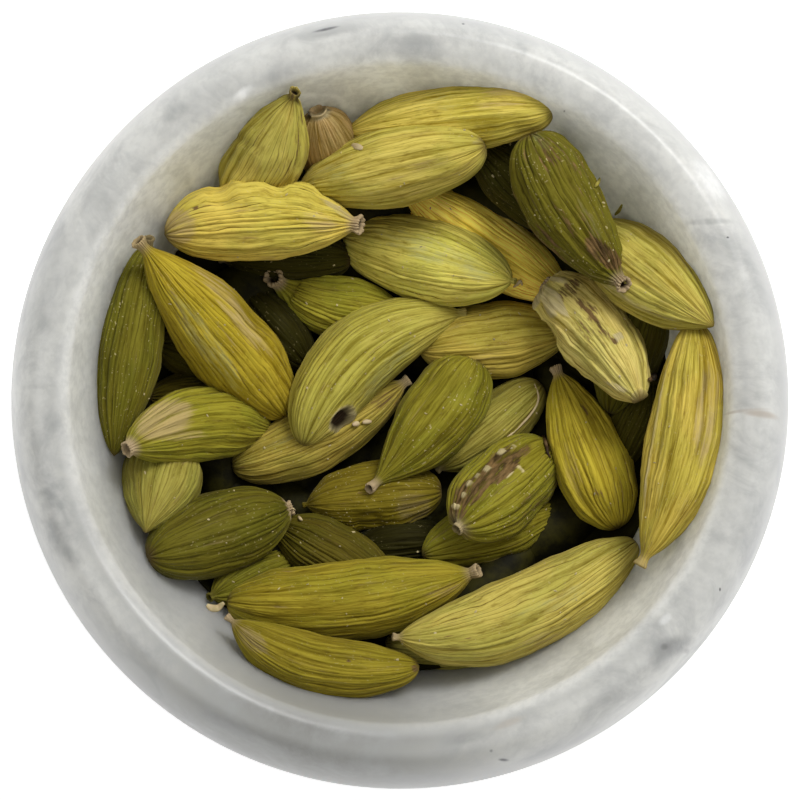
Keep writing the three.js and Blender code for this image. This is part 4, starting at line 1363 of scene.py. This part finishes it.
class CARDAMOM_OT_crumbs(bpy.types.Operator):
    """Makes the loose crumbs of husk on the pods"""

    bl_idname = "cardamom.crumbs"
    bl_label = "Crumbs"

    PLACE_SEED, SHAPE_SEED = 11, 5
    LIFTED = 0.00002
    HEAP_MIDDLE = (412, 388)
    HEAP_REACH = (285, 275)

    def execute(self, context):
        bowl, pods, stage = settings(context)
        context.view_layer.update()
        eye, _ = viewpoint(stage, bowl)
        pieces = [bpy.data.objects["pods_" + kind] for kind in KINDS]
        draw = np.random.default_rng(self.PLACE_SEED)
        spots, ways = [], []
        for angle, share in draw.uniform((0, 0), (2 * math.pi, 1), (pods.crumb_count, 2)):
            out = np.array([math.cos(angle), math.sin(angle)]) * math.sqrt(share)
            spot, facing = seen_at(pieces, eye, np.array(self.HEAP_MIDDLE) + out * self.HEAP_REACH)
            if spot:
                spots.append(spot + facing * self.LIFTED)
                ways.append(facing)
        points = bpy.data.meshes.new("husk_crumbs")
        points.from_pydata(spots, [], [])
        store(points, "facing", np.array(ways))
        material = mottled_material(
            "crumb_husk", rgba(pods.crumb, 0.6), rgba(pods.crumb), **SHRED_FINISH)
        numbers = {"Crumb Size": pods.crumb_size, "Seed": self.SHAPE_SEED}
        tree = geometry_tree("Crumbs", crumbs, numbers)
        mesh = grown("husk_crumbs", points, tree, material, numbers)
        placed("husk_crumbs", mesh, None, *HEAP)
        return {"FINISHED"}


class CARDAMOM_OT_shreds(bpy.types.Operator):
    """Makes the threads, curls and flakes that lie on the pods"""

    bl_idname = "cardamom.shreds"
    bl_label = "Threads and flakes"

    def execute(self, context):
        bowl, pods, stage = settings(context)
        context.view_layer.update()
        eye, away = viewpoint(stage, bowl)
        pieces = [bpy.data.objects["pods_" + kind] for kind in KINDS]
        pieces.append(bpy.data.objects["bowl_stone"])

        def route_over(points):
            """A route in metres that keeps its heights over what shows."""
            return [np.array(seen_at(pieces, eye, (x, y))[0] + away * lift * MM)
                    for x, y, lift in points]

        tones = {"dark": (pods.hollow, pods.scar), "pale": (pods.stalk, pods.crumb),
                 "olive": (pods.green, pods.straw)}
        for kind, (low, high) in tones.items():
            name = "shreds_" + kind
            shells = [strand(route_over(route), thick, flat) for thick, flat, route in SHREDS[kind]]
            material = mottled_material(name, rgba(low), rgba(high), **SHRED_FINISH)
            placed(name, mesh_from(name, shells, 1.0), material, *HEAP)
        return {"FINISHED"}


class CARDAMOM_OT_stage(bpy.types.Operator):
    """Makes the floor, the lights and the camera"""

    bl_idname = "cardamom.stage"
    bl_label = "Stage"

    FLOOR_HALF = 3.0
    KEY_PLACE, KEY_AIM = (0.28, 0.43, 0.61), (0, 0, 0.03)
    SENSOR_WIDTH = 36.0

    def execute(self, context):
        bowl, _, stage = settings(context)
        self.floor(stage)
        self.lights(context, stage)
        self.camera(context, stage, bowl)
        return {"FINISHED"}

    def floor(self, stage):
        half = self.FLOOR_HALF
        corners = [(-half, -half, 0), (half, -half, 0), (half, half, 0), (-half, half, 0)]
        mesh = bpy.data.meshes.new("floor")
        mesh.from_pydata(corners, [], [(0, 1, 2, 3)])
        material, _, shader = new_material("pale_floor", roughness=0.9, specular=0.2)
        shader.inputs["Base Color"].default_value = rgba(stage.floor)
        shader.inputs["Emission Color"].default_value = rgba((1, 1, 1))
        shader.inputs["Emission Strength"].default_value = stage.floor_glow
        mesh.materials.append(material)
        floor = bpy.data.objects.new("floor", mesh)
        bpy.context.scene.collection.objects.link(floor)

    def lights(self, context, stage):
        world = bpy.data.worlds.new("even_light")
        world.use_nodes = True
        w = Wiring(world.node_tree)
        back = world.node_tree.nodes["Background"]
        toward = w.add("ShaderNodeTexCoord")
        w.put(back.inputs[0], rgba((1, 1, 1)))
        slope = w.vector("DOT_PRODUCT", toward, tuple(stage.fill_slope))
        w.put(back.inputs[1], w.plus(slope, stage.fill))
        context.scene.world = world
        data = bpy.data.lights.new("key", "AREA")
        data.shape, data.size, data.energy = "DISK", stage.key_size, stage.key_power
        key = bpy.data.objects.new("key", data)
        context.scene.collection.objects.link(key)
        key.location = self.KEY_PLACE
        aim = Vector(self.KEY_AIM) - key.location
        key.rotation_euler = aim.to_track_quat("-Z", "Y").to_euler()

    def camera(self, context, stage, bowl):
        data = bpy.data.cameras.new("camera")
        data.lens = stage.lens
        data.sensor_width = self.SENSOR_WIDTH
        data.clip_start, data.clip_end = 0.01, 10.0
        camera = bpy.data.objects.new("camera", data)
        context.scene.collection.objects.link(camera)
        camera.location, away = viewpoint(stage, bowl)
        camera.rotation_euler = (-away).to_track_quat("-Z", "Y").to_euler()
        context.scene.camera = camera


class CARDAMOM_PT_panel(bpy.types.Panel):
    """Lists the pieces of the dish"""

    bl_idname = "CARDAMOM_PT_panel"
    bl_label = "Dish of green cardamom"
    bl_space_type = "VIEW_3D"
    bl_region_type = "UI"
    bl_category = "Cardamom"

    def draw(self, context):
        for operator in OPERATORS:
            self.layout.operator(operator.bl_idname)


SETTINGS = {"cardamom_bowl": BowlSettings, "cardamom_pods": PodSettings,
            "cardamom_stage": StageSettings}
OPERATORS = (CARDAMOM_OT_bowl, CARDAMOM_OT_core, CARDAMOM_OT_buried, CARDAMOM_OT_pods,
             CARDAMOM_OT_crumbs, CARDAMOM_OT_shreds, CARDAMOM_OT_stage)
CLASSES = (*SETTINGS.values(), *OPERATORS, CARDAMOM_PT_panel)


def register():
    for cls in CLASSES:
        bpy.utils.register_class(cls)
    for name, group in SETTINGS.items():
        setattr(bpy.types.Scene, name, PointerProperty(type=group))


def unregister():
    for name in SETTINGS:
        delattr(bpy.types.Scene, name)
    for cls in reversed(CLASSES):
        bpy.utils.unregister_class(cls)


def main():
    register()
    bpy.context.scene.view_settings.view_transform = "Standard"
    bpy.ops.cardamom.bowl()
    bpy.ops.cardamom.core()
    bpy.ops.cardamom.buried()
    bpy.ops.cardamom.pods()
    bpy.ops.cardamom.crumbs()
    bpy.ops.cardamom.shreds()
    bpy.ops.cardamom.stage()
    bpy.context.view_layer.update()


if __name__ == "__main__":
    main()
